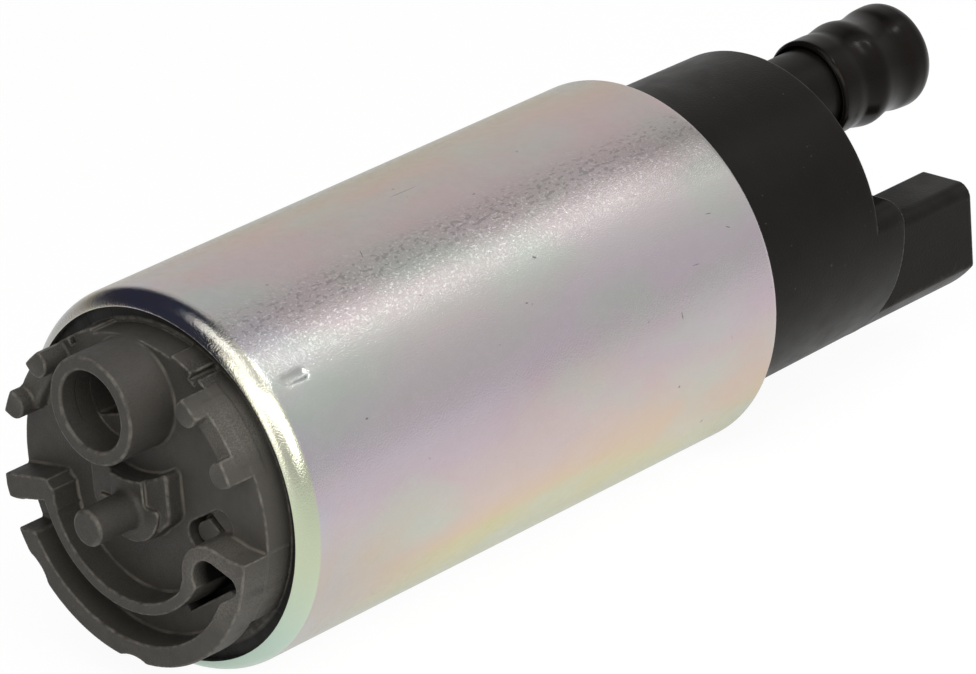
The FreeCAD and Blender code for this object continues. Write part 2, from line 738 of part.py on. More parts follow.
def bearing_frame():
    """Plate with the rear bush, two brush guides and the choke cups."""
    plate = rod(frame_plate_x, frame_back_x, inside_r)
    skirt = tube(frame_skirt_x, frame_plate_x, inside_r, skirt_inner_r)
    gates = [skirt_gate(frame_skirt_x - PAST, frame_plate_x - frame_gate_lip, a) for a in (90.0, 270.0)]
    bush_end_x = frame_plate_x + frame_bush_length
    bush_seat_r = bush_r + frame_bush_wall
    hub = rod(frame_plate_x, bush_end_x + frame_hub_floor, bush_seat_r + frame_hub_wall)
    parts = [skirt.cut(gates), hub]
    cuts = [rod(frame_plate_x - PAST, bush_end_x, bush_seat_r)]
    cup_x = frame_back_x + choke_cup
    guide_top_x = guide_end_x + guide_wall
    for side in (-1, 1):
        parts.append(brush_box(side, frame_plate_x, guide_top_x, GUIDE + guide_wall))
        cuts.append(brush_box(side, frame_plate_x - PAST, guide_end_x, GUIDE))
        cuts.append(rod(guide_end_x - PAST, guide_top_x + PAST, guide_hole_r, side * brush_middle))
        parts.append(rod(frame_back_x, cup_x, choke_core_r + choke_cup_wall, side * choke_y, choke_z))
        cuts.append(rod(frame_back_x, cup_x + PAST, choke_core_r + SLIP, side * choke_y, choke_z))
    for angle in window_angles:
        y, z = polar(inside_r - window_depth, angle)
        cuts.append(stadium(frame_plate_x - PAST, frame_back_x + PAST, y, z, window_length, window_width,
                            angle + 90))
    frame = plate.fuse(parts)
    for cutter in cuts:
        frame = frame.cut(cutter)
    return frame.removeSplitter()


def helix_path(x0, x1, mean_r, turns, y, z, lead):
    """Wire path of a coil as tangent arcs, half a turn at a time, with a straight lead at each end."""
    def point(n):
        cy, cz = polar(mean_r, 180.0 * n)
        return Vector(x0 + (x1 - x0) * n / (2 * turns), y + cy, z + cz)

    def heading(n):
        dy, dz = polar(mean_r * math.pi, 180.0 * n + 90)
        return Vector((x1 - x0) / (2 * turns), dy, dz).normalize()

    edges = []
    first = point(0)
    edges.append(Part.LineSegment(first - heading(0) * lead, first).toShape())
    steps = int(round(2 * turns))
    for n in range(steps):
        edges += two_arcs(point(n), heading(n), point(n + 1), heading(n + 1))
    last = point(steps)
    edges.append(Part.LineSegment(last, last + heading(steps) * lead).toShape())
    return edges


def two_arcs(p0, t0, p1, t1):
    """Two arcs that leave p0 along t0, arrive at p1 along t1 and share a tangent between."""
    span = p1 - p0
    both = t0 + t1
    room = 2 * (1 - t0.dot(t1))
    reach = (-span.dot(both) + math.sqrt(span.dot(both) ** 2 + room * span.dot(span))) / room
    q0 = p0 + t0 * reach
    q1 = p1 - t1 * reach
    joint = (q0 + q1) * 0.5
    return [corner_arc(p0, q0, joint), corner_arc(joint, q1, p1)]


def corner_arc(start, corner, end):
    """Arc from start to end whose end tangents meet at the corner."""
    weight = (end - start).Length / (2 * (corner - start).Length)
    middle = (start + corner * (2 * weight) + end) * (0.5 / (1 + weight))
    return Part.Arc(start, middle, end).toShape()


def coil(name, x0, x1, mean_r, wire_r, turns, y=0.0, z=0.0):
    """Flat-sided wire wound about an axis along X, unbroken, and inside x0 to x1."""
    inset = wire_r * spring_end_inset
    edges = helix_path(x0 + inset, x1 - inset, mean_r, turns, y, z, 2 * wire_r)
    path = Part.Wire(edges)
    start = edges[0].Vertexes[0].Point
    along = (edges[0].Vertexes[1].Point - start).normalize()
    across = along.cross(Vector(1, 0, 0)).normalize()
    upward = across.cross(along)
    corners = [start + (across * a + upward * b) * wire_r for a, b in ((1, 1), (-1, 1), (-1, -1), (1, -1))]
    section = Part.makePolygon(corners + corners[:1])
    pipe = path.makePipeShell([section], True, False)
    expected = (2 * wire_r) ** 2 * path.Length
    print(f"{name}: least gap between turns {least_gap(edges, mean_r, wire_r):.2f}, "
          f"volume against section times length {pipe.Volume / expected:.3f}")
    return pipe


def least_gap(edges, mean_r, wire_r):
    """Least distance between two turns, on points of the path at least half a turn apart."""
    points = [p for edge in edges for p in edge.discretize(9)[:-1]]
    travelled = [0.0]
    for a, b in zip(points, points[1:]):
        travelled.append(travelled[-1] + a.distanceToPoint(b))
    apart = math.pi * mean_r
    return min(a.distanceToPoint(b) for i, a in enumerate(points) for k, b in enumerate(points)
               if travelled[k] - travelled[i] > apart) - 2 * wire_r


def cover_outline():
    """Outlet cover's outside: drafted drum, its upper end stepped back above the lobe."""
    drum = turned((frame_back_x, 0.0), (frame_back_x, inside_r), (flange_end_x, inside_r),
                  (flange_end_x, cover_root_r), (lobe_end_x, cover_end_r), (lobe_end_x, 0.0))
    step = box(cover_end_x, lobe_end_x + PAST, -REACH, REACH, lobe_top_z, REACH)
    return drum.cut(step)


def round_lobe(body):
    """Round the two upper corners of the lobe's end, where its flat top meets the drum."""
    inner_y = math.sqrt(cover_end_r ** 2 - lobe_top_z ** 2) - lobe_corner
    centre_z = lobe_top_z - lobe_corner
    x0, x1 = cover_end_x, lobe_end_x + PAST
    for side in (-1, 1):
        near, far = sorted((side * inner_y, side * REACH))
        block = box(x0, x1, near, far, centre_z, lobe_top_z + PAST)
        keep = rod(x0 - PAST, x1 + PAST, lobe_corner, side * (inner_y - lobe_ease), centre_z)
        body = body.cut(block.cut(keep))
    return body


def plug_outline(x0, x1, inset):
    """Connector shroud's section: a box with one rounded corner, cut off by the drum's own curve."""
    y0, y1 = plug_outer_y + inset, plug_inner_y - inset
    z1 = plug_top_z - inset
    corner = max(plug_corner - inset, plug_inner_corner)
    bend = corner * (1 - math.sqrt(0.5))
    shape = prism(x0, x1, (y1, -rim_r), (y1, z1), (y0 + corner, z1),
                  ((y0 + bend, z1 - bend), (y0, z1 - corner)), (y0, -rim_r))
    return shape.common(rod(x0 - PAST, x1 + PAST, cover_end_r - inset))


def nipple():
    """Barbed outlet nipple with its valve boss inside the cover."""
    boss_end_x = cover_end_x - cover_floor / 2
    boss_r = nipple_bore_r + valve_boss_wall
    body = turned((valve_seat_x, 0.0), (valve_seat_x, boss_r), (boss_end_x, boss_r), (boss_end_x, nipple_r),
                  (barb_x - barb_lead, nipple_r), (barb_x, barb_r), (barb_x + barb_length, nipple_r),
                  (nipple_end_x - nipple_tip, nipple_r), (nipple_end_x, nipple_r - nipple_tip),
                  (nipple_end_x, 0.0))
    body.translate(Vector(0, 0, nipple_z))
    return body


def outlet_cover():
    """Moulded outlet cover with connector shroud, outlet nipple and the two valve bores."""
    outside = round_lobe(cover_outline())
    hollow = rod(frame_back_x - PAST, cover_end_x - cover_floor, cavity_r)
    above = box(0, lobe_end_x, -REACH, REACH, lobe_top_z - cover_wall, REACH)
    low_hollow = rod(flange_end_x, lobe_end_x - cover_floor, cavity_r).cut(above)
    boss = rod(relief_seat_x, lobe_end_x, relief_bore_r + relief_boss_wall, relief_y, relief_z)
    plug = plug_outline(lobe_end_x - PAST, plug_end_x, 0.0)
    body = outside.cut([hollow, low_hollow]).fuse([boss, nipple(), plug])
    cuts = [rod(valve_seat_x - PAST, nipple_end_x + PAST, valve_seat_r, 0.0, nipple_z),
            rod(seat_face_x, nipple_end_x + PAST, nipple_bore_r, 0.0, nipple_z),
            rod(relief_seat_x - PAST, lobe_end_x + PAST, relief_seat_r, relief_y, relief_z),
            rod(relief_seat_x + relief_seat_wall, lobe_end_x + PAST, relief_bore_r, relief_y, relief_z),
            plug_outline(plug_end_x - plug_depth, plug_end_x + PAST, plug_wall),
            tube(seal_x - seal_section_r, seal_x + seal_section_r, inside_r + PAST, seal_inner_r)]
    cuts += [blade_box(z) for z in blade_z]
    for cutter in cuts:
        body = body.cut(cutter)
    return body.removeSplitter()


def blade_box(z):
    """Connector blade: flat strip from the motor space to the socket."""
    x0, x1 = cover_end_x - blade_tail, plug_end_x - blade_recess
    y0 = (plug_inner_y + plug_outer_y - blade_thickness) / 2
    z0 = z - blade_width / 2
    return box(x0, x1, y0, y0 + blade_thickness, z0, z0 + blade_width)


def cover_seal():
    """Square-cut rubber ring in the cover's flange groove."""
    return tube(seal_x - seal_section_r, seal_x + seal_section_r, bore_r, seal_inner_r)


def check_poppet():
    """Poppet of the outlet check valve, with its guide stem."""
    head_x = seat_face_x + TOUCH
    head = rod(head_x, head_x + poppet_head, poppet_r, 0.0, nipple_z)
    stem = rod(head_x, head_x + poppet_stem_length, poppet_stem_r, 0.0, nipple_z)
    return head.fuse(stem).removeSplitter()


def check_retainer():
    """Spoked ring pressed into the nipple's bore behind the spring."""
    x1 = retainer_x + retainer_length
    rim = tube(retainer_x, x1, nipple_bore_r, nipple_bore_r - retainer_rim)
    hub = rod(retainer_x, x1, poppet_stem_r + retainer_hub)
    spoke = box(retainer_x, x1, 0, nipple_bore_r - retainer_rim / 2, -retainer_spoke / 2, retainer_spoke / 2)
    spokes = [spun(spoke, 120.0 * n) for n in range(3)]
    ring = rim.fuse([hub] + spokes).cut(rod(retainer_x - PAST, x1 + PAST, poppet_stem_r + GUIDE))
    ring.translate(Vector(0, 0, nipple_z))
    return ring.removeSplitter()


def relief_ball_x():
    """Centre of the ball when it rests on its seat."""
    drop = math.sqrt(relief_ball_r ** 2 - relief_seat_r ** 2)
    return relief_seat_x + relief_seat_wall + drop + TOUCH


def relief_ball():
    return Part.makeSphere(relief_ball_r, Vector(relief_ball_x(), relief_y, relief_z))


def relief_plug_piece():
    """Bored plug that holds the relief spring."""
    return tube(relief_end_x, lobe_end_x, relief_bore_r, relief_plug_hole_r, relief_y, relief_z)


def dust_cap():
    """Soft moulded cap: rolled rim, bulge over the barb and a rounded closed end."""
    bend = cap_round * (1 - math.sqrt(0.5))
    end_r = cap_rim_r + cap_swell
    bulge_r = cap_rim_r + cap_bulge
    inner_x = cap_end_x - cap_end_wall
    bulge_x = barb_x - cap_bulge_lead
    tail_x = bulge_x + cap_bulge_top + cap_bulge_tail
    cap = turned((cap_rim_x, cap_bore_r), (cap_rim_x, cap_rim_r), (cap_rim_x + cap_rim_length, cap_rim_r),
                 (cap_rim_x + cap_groove_x, cap_rim_r - cap_groove), (bulge_x, bulge_r),
                 (bulge_x + cap_bulge_top, bulge_r), (tail_x, cap_rim_r), (cap_end_x - cap_round, end_r),
                 (cap_end_x - bend, end_r - bend), (cap_end_x, end_r - cap_round), (cap_end_x, 0.0),
                 (inner_x, 0.0), (inner_x, cap_bore_r))
    cap.translate(Vector(0, 0, nipple_z))
    return cap


def brush_spring(side):
    letter = "a" if side < 0 else "b"
    mean_r = brush_radial / 2 - spring_wire_r - spring_inset
    return coil(f"brush spring {letter}", spring_x, guide_end_x, mean_r, spring_wire_r, spring_turns,
                side * brush_middle, 0.0)


def choke_core(side):
    return rod(frame_back_x, frame_back_x + choke_core_length, choke_core_r, side * choke_y, choke_z)


def choke_coil(side):
    """Close-wound coil as one sleeve round the core, between its cup and the core's bare end."""
    start = frame_back_x + choke_cup + TOUCH
    end = frame_back_x + choke_core_length - choke_core_end
    inner = choke_core_r + SLIP
    return tube(start, end, inner + choke_coil_wall, inner, side * choke_y, choke_z)


def build():
    """Every piece, under the name of its file."""
    check_x = seat_face_x + TOUCH + poppet_head
    ball_top = relief_ball_x() + relief_ball_r
    return {
        "steel_shell": steel_shell(),
        "inlet_cover": inlet_cover(),
        "thrust_pin": rod(cover_back_x - thrust_pin_length, cover_back_x, thrust_pin_r),
        "impeller": impeller(),
        "pump_casing": pump_casing(),
        "casing_bush": tube(casing_floor_x + bush_recess, casing_back_x + casing_hub_length,
                            shaft_r + bush_wall, bush_r),
        "armature_shaft": shaft(),
        "armature_core": armature_core(),
        "front_insulator": end_insulator(core_x - insulator),
        "rear_insulator": end_insulator(core_end_x),
        "armature_winding": armature_winding(),
        "commutator_hub": commutator_hub_piece(),
        "commutator_segments": commutator_segments(),
        "magnet_upper": magnet(90.0),
        "magnet_lower": magnet(270.0),
        "magnet_clip_left": magnet_clip(0.0),
        "magnet_clip_right": magnet_clip(180.0),
        "bearing_frame": bearing_frame(),
        "frame_bush": tube(frame_plate_x, frame_plate_x + frame_bush_length,
                           bush_r + frame_bush_wall, bush_r),
        "brush_a": brush_box(-1, brush_x, brush_end_x, 0.0),
        "brush_b": brush_box(1, brush_x, brush_end_x, 0.0),
        "brush_spring_a": brush_spring(-1),
        "brush_spring_b": brush_spring(1),
        "choke_core_a": choke_core(-1),
        "choke_core_b": choke_core(1),
        "choke_coil_a": choke_coil(-1),
        "choke_coil_b": choke_coil(1),
        "outlet_cover": outlet_cover(),
        "cover_seal": cover_seal(),
        "terminal_a": blade_box(blade_z[0]),
        "terminal_b": blade_box(blade_z[1]),
        "check_poppet": check_poppet(),
        "check_spring": coil("check spring", check_x, retainer_x, (poppet_r + poppet_stem_r) / 2,
                             check_spring_wire_r, valve_spring_turns, 0.0, nipple_z),
        "check_retainer": check_retainer(),
        "relief_ball": relief_ball(),
        "relief_spring": coil("relief spring", ball_top, relief_end_x,
                              relief_bore_r - relief_spring_wire_r - GUIDE, relief_spring_wire_r,
                              valve_spring_turns, relief_y, relief_z),
        "relief_plug": relief_plug_piece(),
        "dust_cap": dust_cap(),
    }


def main():
    os.makedirs("parts", exist_ok=True)
    for name, shape in build().items():
        shape.translate(Vector(-shell_length / 2, 0, 0))
        shape.exportStep(f"parts/{name}.step")
        print(f"{name}: {len(shape.Solids)} solid, valid {shape.isValid()}, {shape.Volume:.1f} mm3")


main()
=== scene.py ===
import json
import math

import bpy
import numpy as np
from mathutils import Matrix, Vector


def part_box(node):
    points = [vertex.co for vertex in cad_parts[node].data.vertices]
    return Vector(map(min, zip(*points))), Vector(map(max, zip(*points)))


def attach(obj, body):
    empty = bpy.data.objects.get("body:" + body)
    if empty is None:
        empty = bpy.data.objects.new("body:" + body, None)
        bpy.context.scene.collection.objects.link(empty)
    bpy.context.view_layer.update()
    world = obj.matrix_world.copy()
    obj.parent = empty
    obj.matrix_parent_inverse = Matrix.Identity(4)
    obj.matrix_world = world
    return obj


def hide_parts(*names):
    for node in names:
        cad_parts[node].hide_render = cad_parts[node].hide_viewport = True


# Looks of an in-tank fuel pump: zinc-plated steel shell, dark moulded inlet cover, black outlet
# cover with its plug shroud, and a soft black cap on the outlet nipple.
# Shapes are in millimetres: x is counted from the plane of the shell's front lip, y and z from
# the shell's axis, and angles about the axis are in degrees from +y towards +z.

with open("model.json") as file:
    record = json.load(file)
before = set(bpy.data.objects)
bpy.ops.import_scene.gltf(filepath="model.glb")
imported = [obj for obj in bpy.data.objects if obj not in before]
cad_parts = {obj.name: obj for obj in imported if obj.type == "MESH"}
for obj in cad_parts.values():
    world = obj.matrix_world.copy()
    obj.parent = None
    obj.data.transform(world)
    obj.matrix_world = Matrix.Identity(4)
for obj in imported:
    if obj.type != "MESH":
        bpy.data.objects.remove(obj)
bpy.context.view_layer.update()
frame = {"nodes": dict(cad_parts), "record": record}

MM = 0.001
shell_low, shell_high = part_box("steel_shell")
LIP = shell_low.x
SHELL_R = shell_high.z / MM
SHELL_LENGTH = (shell_high.x - shell_low.x) / MM

# Shell
BORE_R = 17.9
FRONT_OPENING_R = 17.5
REAR_OPENING_R = 16.6
LIP_THICKNESS = 1.0
ROLL_CENTRE = (2.26, 16.56)
ROLL_R = 2.43
ROLL_START = 154.0
ROLL_END = 92.0
MARK_ANGLE = 138.0
MARK_X = 4.95
MARK_HALF_LENGTH = 1.05
MARK_HALF_WIDTH = 0.44
MARK_DEPTH = 0.25

# Inlet cover
RIM_R = 16.2
FLANGE_R = 17.85
FLOOR_X = -2.1
WALL_X = -5.2
LEDGE_X = -3.65
FACE_BACK_X = 1.3
COVER_BACK_X = 5.2
CHANNEL_INNER_R = 11.1
CHANNEL_OUTER_R = 14.0
CHANNEL_TURN = (208.0, 347.0)
WALL_INNER_R = 9.8
INNER_WALL_TURN = (222.0, 352.0)
OUTER_WALL_TURN = (187.5, 342.0)
OUTER_WALL_TOP_Z = -6.25
HOOK = (-11.1, -5.0)
HOOK_R = 3.6
POCKET_R = 2.1
POCKET_TIP = (-13.7, -4.7)
POCKET_TIP_R = 0.95
POCKET_X = 1.3
TUBE = (0.0, 10.35)
TUBE_R = 5.4
TUBE_BORE_R = 3.95
TUBE_X = -7.8
TUBE_HOLLOW_R = 8.1
SHELF_X = -3.95
SHELF_TURN = -16.0
POST = (0.0, -0.8)
POST_R = 1.85
POST_X = -9.7
BLOCK_X = -3.95
BLOCK_HALF = 5.2
PAD_X = -4.35
BLOCK_CORNER = 1.0
RIB_ANGLES = (25.0, 49.2, 130.8, 155.0)
RIB_HALF = 1.3
LEDGE_INNER_R = 13.8
SHALLOW_NOTCH = (70.5, 109.5)
DEEP_NOTCHES = ((216.0, 250.0), (290.0, 324.0), (57.5, 60.5), (119.5, 122.5))
BITE_ANGLES = (-38.3, -88.5)
BITE_R = 4.0
VENT = (-8.6, -1.55)
VENT_TURN = 150.0
VENT_REACH = 1.73
VENT_HALF = 1.48
VENT_X = 0.2
VENT_STEP_X = -1.3
FLOW_RING = (12.2, 15.0)
FLOW_TURN = (84.0, 411.0)
FLOW_DEPTH = 1.4
PIN_R = 1.5
PIN_HOLE_X = 1.6
MOULD_EDGE = 0.18
MOULD_FILLET = 0.28

# Outlet cover
COVER_FRONT_X = 61.0
COVER_FLANGE_X = 64.6
DRUM_R = 16.35
DRUM_END_R = 16.1
DRUM_END_X = 84.0
LOBE_END_X = 88.0
LOBE_TOP_Z = 2.15
LOBE_CORNER = 2.2
CAVITY_R = 14.6
PLUG_OUTER_Y = -12.0
PLUG_INNER_Y = -5.67
PLUG_TOP_Z = -1.7
PLUG_END_X = 103.0
PLUG_CORNER = 1.5
PLUG_WALL = 1.0
SOCKET_DEPTH = 12.0
NIPPLE_Z = 9.33
NIPPLE_R = 4.55
NIPPLE_BORE_R = 3.0
NIPPLE_END_X = 104.4
NIPPLE_BOSS_X = 77.6
BARB_X = 98.4
BARB_LENGTH = 3.0
BARB_RISE = 0.2
RELIEF = (8.0, -6.0)
RELIEF_BORE_R = 2.0
RELIEF_BOSS_R = 3.3
RELIEF_BOSS_X = 79.0
SEAL_GROOVE_R = 16.3
SEAL_GROOVE = (62.0, 63.6)

# Cap
CAP_RIM_X = 92.0
CAP_RIM_OPENING_R = 4.82
CAP_END_X = 106.1
CAP_END_DOME = 0.6
CAP_ROUND = 2.0
CAP_BORE_R = 4.95
CAP_R = 5.3
CAP_END_R = 5.6
CAP_STEP_X = 102.4
CAP_GROOVE_X = 95.6
CAP_BULGE_X = 98.2
CAP_WAIST_X = 101.0
CAP_FLAT_X = 96.9
CAP_FLAT_ANGLE = 131.0

# Room
FLOOR_HALF = 4000.0
SEAM_ANGLE = 86.0
GLOW_ANGLE = 116.0
SHADE_ANGLE = 49.0

AXIS = (0.0, 0.0)


# Meshes

def shown(name, data):
    """A new object in the scene."""
    made = bpy.data.objects.new(name, data)
    bpy.context.scene.collection.objects.link(made)
    return made


def put(name, points, faces, body, material, replaces):
    """A piece from points in millimetres that rides on a body and stands for CAD nodes."""
    mesh = bpy.data.meshes.new(name)
    place = np.asarray(points, float) * MM + (LIP, 0.0, 0.0)
    mesh.from_pydata(place.tolist(), [], [list(f) for f in faces])
    mesh.polygons.foreach_set("use_smooth", np.ones(len(mesh.polygons), bool))
    mesh.materials.append(material)
    piece = shown(name, mesh)
    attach(piece, body)
    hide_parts(*replaces)
    return piece


def grid_faces(rows, columns, wrap):
    """Four-sided faces of a grid whose columns close on themselves, and whose rows do if wrap is set."""
    row = np.arange(rows if wrap else rows - 1)[:, None]
    column = np.arange(columns)[None, :]
    after = (row + 1) % rows * columns
    beside = (column + 1) % columns
    corners = [row * columns + column, row * columns + beside, after + beside, after + column]
    return np.stack(np.broadcast_arrays(*corners), -1).reshape(-1, 4)


def spin(x, radius, angles, axis_y=0.0, axis_z=0.0):
    """Points of a profile turned about a line along x: y and z are the axis plus radius times the
    cosine and sine of the angle. x and radius may be grids of profile by angle."""
    turn = np.radians(angles)[None, :]
    radius = np.broadcast_to(radius, np.broadcast(radius, turn).shape)
    x = np.broadcast_to(x, radius.shape)
    return np.stack([x, axis_y + radius * np.cos(turn), axis_z + radius * np.sin(turn)], -1)


def corner_arc(centre_x, centre_r, size, start, end, count=7):
    """Profile points on a round corner: centre plus size times the cosine and sine of the angle."""
    turn = np.radians(np.linspace(start, end, count))
    return np.stack([centre_x + size * np.cos(turn), centre_r + size * np.sin(turn)], -1)


def run(x0, r0, x1, r1, count):
    """Evenly spaced profile points from one place to another, both ends left out."""
    share = np.linspace(0.0, 1.0, count + 2)[1:-1, None]
    return (1 - share) * (x0, r0) + share * (x1, r1)


def bell(value, middle, width):
    """Smooth bump of height 1: e to the minus square of the distance in widths."""
    return np.exp(-((value - middle) / width) ** 2)


# Distance fields: negative inside the solid, positive outside, in millimetres

def disc(y, z, centre, radius):
    return np.hypot(y - centre[0], z - centre[1]) - radius


def ring(y, z, inner, outer):
    return np.abs(np.hypot(y, z) - (inner + outer) / 2) - (outer - inner) / 2


def wedge(y, z, start, end):
    """Between two rays from the axis: the larger distance past a ray, or the smaller past a half turn."""
    a, b = math.radians(start), math.radians(end)
    past_start = math.sin(a) * y - math.cos(a) * z
    past_end = math.cos(b) * z - math.sin(b) * y
    return np.maximum(past_start, past_end) if end - start < 180 else np.minimum(past_start, past_end)


def capsule(y, z, start, end, half):
    """Round-ended bar: distance to the nearest point of its middle line, less its half width."""
    along = np.array(end) - start
    share = np.clip(((y - start[0]) * along[0] + (z - start[1]) * along[1]) / (along @ along), 0.0, 1.0)
    return np.hypot(y - start[0] - share * along[0], z - start[1] - share * along[1]) - half


def two_discs(y, z, a, ra, b, rb):
    """Outline drawn round two circles of different size."""
    span = math.dist(a, b)
    uy, uz = (b[0] - a[0]) / span, (b[1] - a[1]) / span
    along = (y - a[0]) * uy + (z - a[1]) * uz
    aside = np.abs((z - a[1]) * uy - (y - a[0]) * uz)
    lean = (ra - rb) / span
    rise = math.sqrt(1 - lean * lean)
    level = along * rise - aside * lean
    side = aside * rise + along * lean - ra
    near = np.hypot(aside, along) - ra
    far = np.hypot(aside, along - span) - rb
    return np.where(level < 0, near, np.where(level > rise * span, far, side))


def plate(y, z, centre, half_y, half_z, turn=0.0):
    """Rectangle: the larger of the two distances past its sides."""
    a = math.radians(turn)
    u = (y - centre[0]) * math.cos(a) + (z - centre[1]) * math.sin(a)
    v = (z - centre[1]) * math.cos(a) - (y - centre[0]) * math.sin(a)
    return np.maximum(np.abs(u) - half_y, np.abs(v) - half_z)


def slab(outline, x, low, high, edge):
    """Solid with that outline from low to high along x, its edges rounded by a circle."""
    beside = outline + edge
    past = np.maximum(low - x, x - high) + edge
    corner = np.hypot(np.maximum(beside, 0), np.maximum(past, 0))
    return np.minimum(np.maximum(beside, past), 0) + corner - edge


def meet(a, b, edge):
    """What two outlines share, with the corner rounded by a circle."""
    corner = np.hypot(np.maximum(a + edge, 0), np.maximum(b + edge, 0))
    return np.minimum(np.maximum(a, b) + edge, 0) + corner - edge


def join(a, b, fillet):
    """Both solids with a fillet between them: the smaller distance, less a parabola where they are near."""
    near = np.maximum(fillet - np.abs(a - b), 0) / fillet
    return np.minimum(a, b) - near * near * fillet / 4


def cut(a, b, edge):
    """The first solid without the second, its new edges eased."""
    return -join(-a, b, edge)


def surface_net(field, low, high, step):
    """Closed surface where the field is zero: each grid cell that the surface crosses gets the mean of
    its edges' crossings as a point, and each crossed grid edge joins the four cells round it."""
    axes = [np.arange(a, b + step, step, dtype=np.float32) for a, b in zip(low, high)]
    value = field(*np.meshgrid(*axes, indexing="ij", sparse=True)).astype(np.float32)
    inside = value < 0
    size = np.array(value.shape) - 1
    corners = np.array([(i, j, k) for i in (0, 1) for j in (0, 1) for k in (0, 1)])
    held = np.zeros(size, np.int8)
    for i, j, k in corners:
        held += inside[i:size[0] + i, j:size[1] + j, k:size[2] + k]
    cells = np.argwhere((held > 0) & (held < 8))
    number = np.full(size, -1, np.int64)
    number[tuple(cells.T)] = np.arange(len(cells))
    total = np.zeros((len(cells), 3))
    crossings = np.zeros((len(cells), 1))
    for a in corners:
        for axis in range(3):
            if a[axis]:
                continue
            b = a + np.eye(3, dtype=int)[axis]
            value_a = value[tuple((cells + a).T)]
            value_b = value[tuple((cells + b).T)]
            crossed = (value_a < 0) != (value_b < 0)
            share = np.where(crossed, value_a / np.where(crossed, value_a - value_b, 1), 0)
            total += crossed[:, None] * (a + share[:, None] * (b - a))
            crossings += crossed[:, None]
    points = np.array(low) + step * (cells + total / crossings)
    quads = []
    for axis in range(3):
        u, v = (axis + 1) % 3, (axis + 2) % 3
        lower = [slice(None)] * 3
        upper = [slice(None)] * 3
        lower[axis], upper[axis] = slice(None, -1), slice(1, None)
        for side in (u, v):
            lower[side] = upper[side] = slice(1, -1)
        here, there = inside[tuple(lower)], inside[tuple(upper)]
        edges = np.argwhere(here != there)
        leaves = here[tuple(edges.T)]
        edges[:, u] += 1
        edges[:, v] += 1
        step_u, step_v = np.eye(3, dtype=int)[u], np.eye(3, dtype=int)[v]
        loop = [number[tuple((edges - shift).T)] for shift in (step_u + step_v, step_v, 0 * step_u, step_u)]
        loop = np.stack(loop, -1)
        loop[~leaves] = loop[~leaves][:, ::-1]
        quads.append(loop)
    return points, np.concatenate(quads)


def slope(field, points, reach=0.02):
    """Gradient of the field at points, from the differences over a short reach along each axis."""
    steps = np.eye(3) * reach
    return np.stack([field(*(points + s).T) - field(*(points - s).T) for s in steps], -1) / (2 * reach)


def settle(field, points, step):
    """Points moved along the gradient on to the zero surface, no further than half a step at a time."""
    for _ in range(3):
        gradient = slope(field, points)
        steepness = np.maximum((gradient ** 2).sum(1), 0.05)
        move = -gradient * (field(*points.T) / steepness)[:, None]
        length = np.maximum(np.linalg.norm(move, axis=1, keepdims=True), 1e-9)
        points = points + move * np.minimum(1, step / 2 / length)
    return points


def moulded(name, field, low, high, step, most, body, material, replaces):
    """A moulded piece from its distance field, thinned to a number of triangles, with the field's own
    normals and with its convex and hollow curvature kept as attributes for the material."""
    step = step
    points, quads = surface_net(field, low, high, step)
    points = settle(field, points, step)
    piece = put(name, points, quads, body, material, replaces)
    if 2 * len(quads) > most:
        thin = piece.modifiers.new("thin", "DECIMATE")
        thin.ratio = most / (2 * len(quads))
        view = bpy.context.evaluated_depsgraph_get()
        mesh = bpy.data.meshes.new_from_object(piece.evaluated_get(view))
        piece.modifiers.clear()
        piece.data = mesh
    mesh = piece.data
    mesh.name = name
    place = np.empty(len(mesh.vertices) * 3, np.float32)
    mesh.vertices.foreach_get("co", place)
    points = (place.reshape(-1, 3) - (LIP, 0.0, 0.0)) / MM
    normals = slope(field, points, 0.05)
    normals /= np.maximum(np.linalg.norm(normals, axis=1, keepdims=True), 1e-9)
    mesh.polygons.foreach_set("use_smooth", np.ones(len(mesh.polygons), bool))
    mesh.normals_split_custom_set_from_vertices(normals.tolist())
    reach = 0.22
    around = sum(field(*(points + s).T) for s in np.concatenate([np.eye(3), -np.eye(3)]) * reach)
    bend = (around - 6 * field(*points.T)) / reach ** 2
    for label, value in (("edge", bend / 3.0), ("hollow", -bend / 3.0)):
        layer = mesh.attributes.new(label, "FLOAT", "POINT")
        layer.data.foreach_set("value", np.clip(value, 0, 1).astype(np.float32))
    return piece


# Inlet cover

def channel_outline(y, z):
    return np.maximum(ring(y, z, CHANNEL_INNER_R, CHANNEL_OUTER_R), wedge(y, z, *CHANNEL_TURN))


def curved_walls(y, z):
    """Outline of the two curved walls, the hook that joins them to the rim, and the tab."""
    outer = meet(ring(y, z, CHANNEL_OUTER_R, RIM_R), wedge(y, z, *OUTER_WALL_TURN), 0.2)
    outer = meet(outer, z - OUTER_WALL_TOP_Z, 0.3)
    inner = np.maximum(ring(y, z, WALL_INNER_R, CHANNEL_INNER_R), wedge(y, z, *INNER_WALL_TURN))
    land = plate(y, z, (-14.0, -4.5), 2.9, 2.6, turn=2.0)
    land = np.maximum(land, disc(y, z, AXIS, RIM_R))
    tab = capsule(y, z, (11.0, -1.45), (14.9, -2.1), 1.2)
    tab = join(tab, plate(y, z, (13.0, -1.75), 3.0, 1.2, turn=-8.0), 0.3)
    tab = meet(tab, disc(y, z, AXIS, RIM_R), 0.35)
    hook = disc(y, z, HOOK, HOOK_R)
    walls = join(join(hook, land, 0.8), inner, 1.6)
    walls = join(join(walls, outer, 0.3), tab, 1.4)
    walls = cut(walls, channel_outline(y, z), 0.3)
    return cut(walls, pocket(y, z), 0.2)


def pocket(y, z):
    return two_discs(y, z, HOOK, POCKET_R, POCKET_TIP, POCKET_TIP_R)


def tube_hollow(y, z):
    return -disc(y, z, TUBE, TUBE_HOLLOW_R)


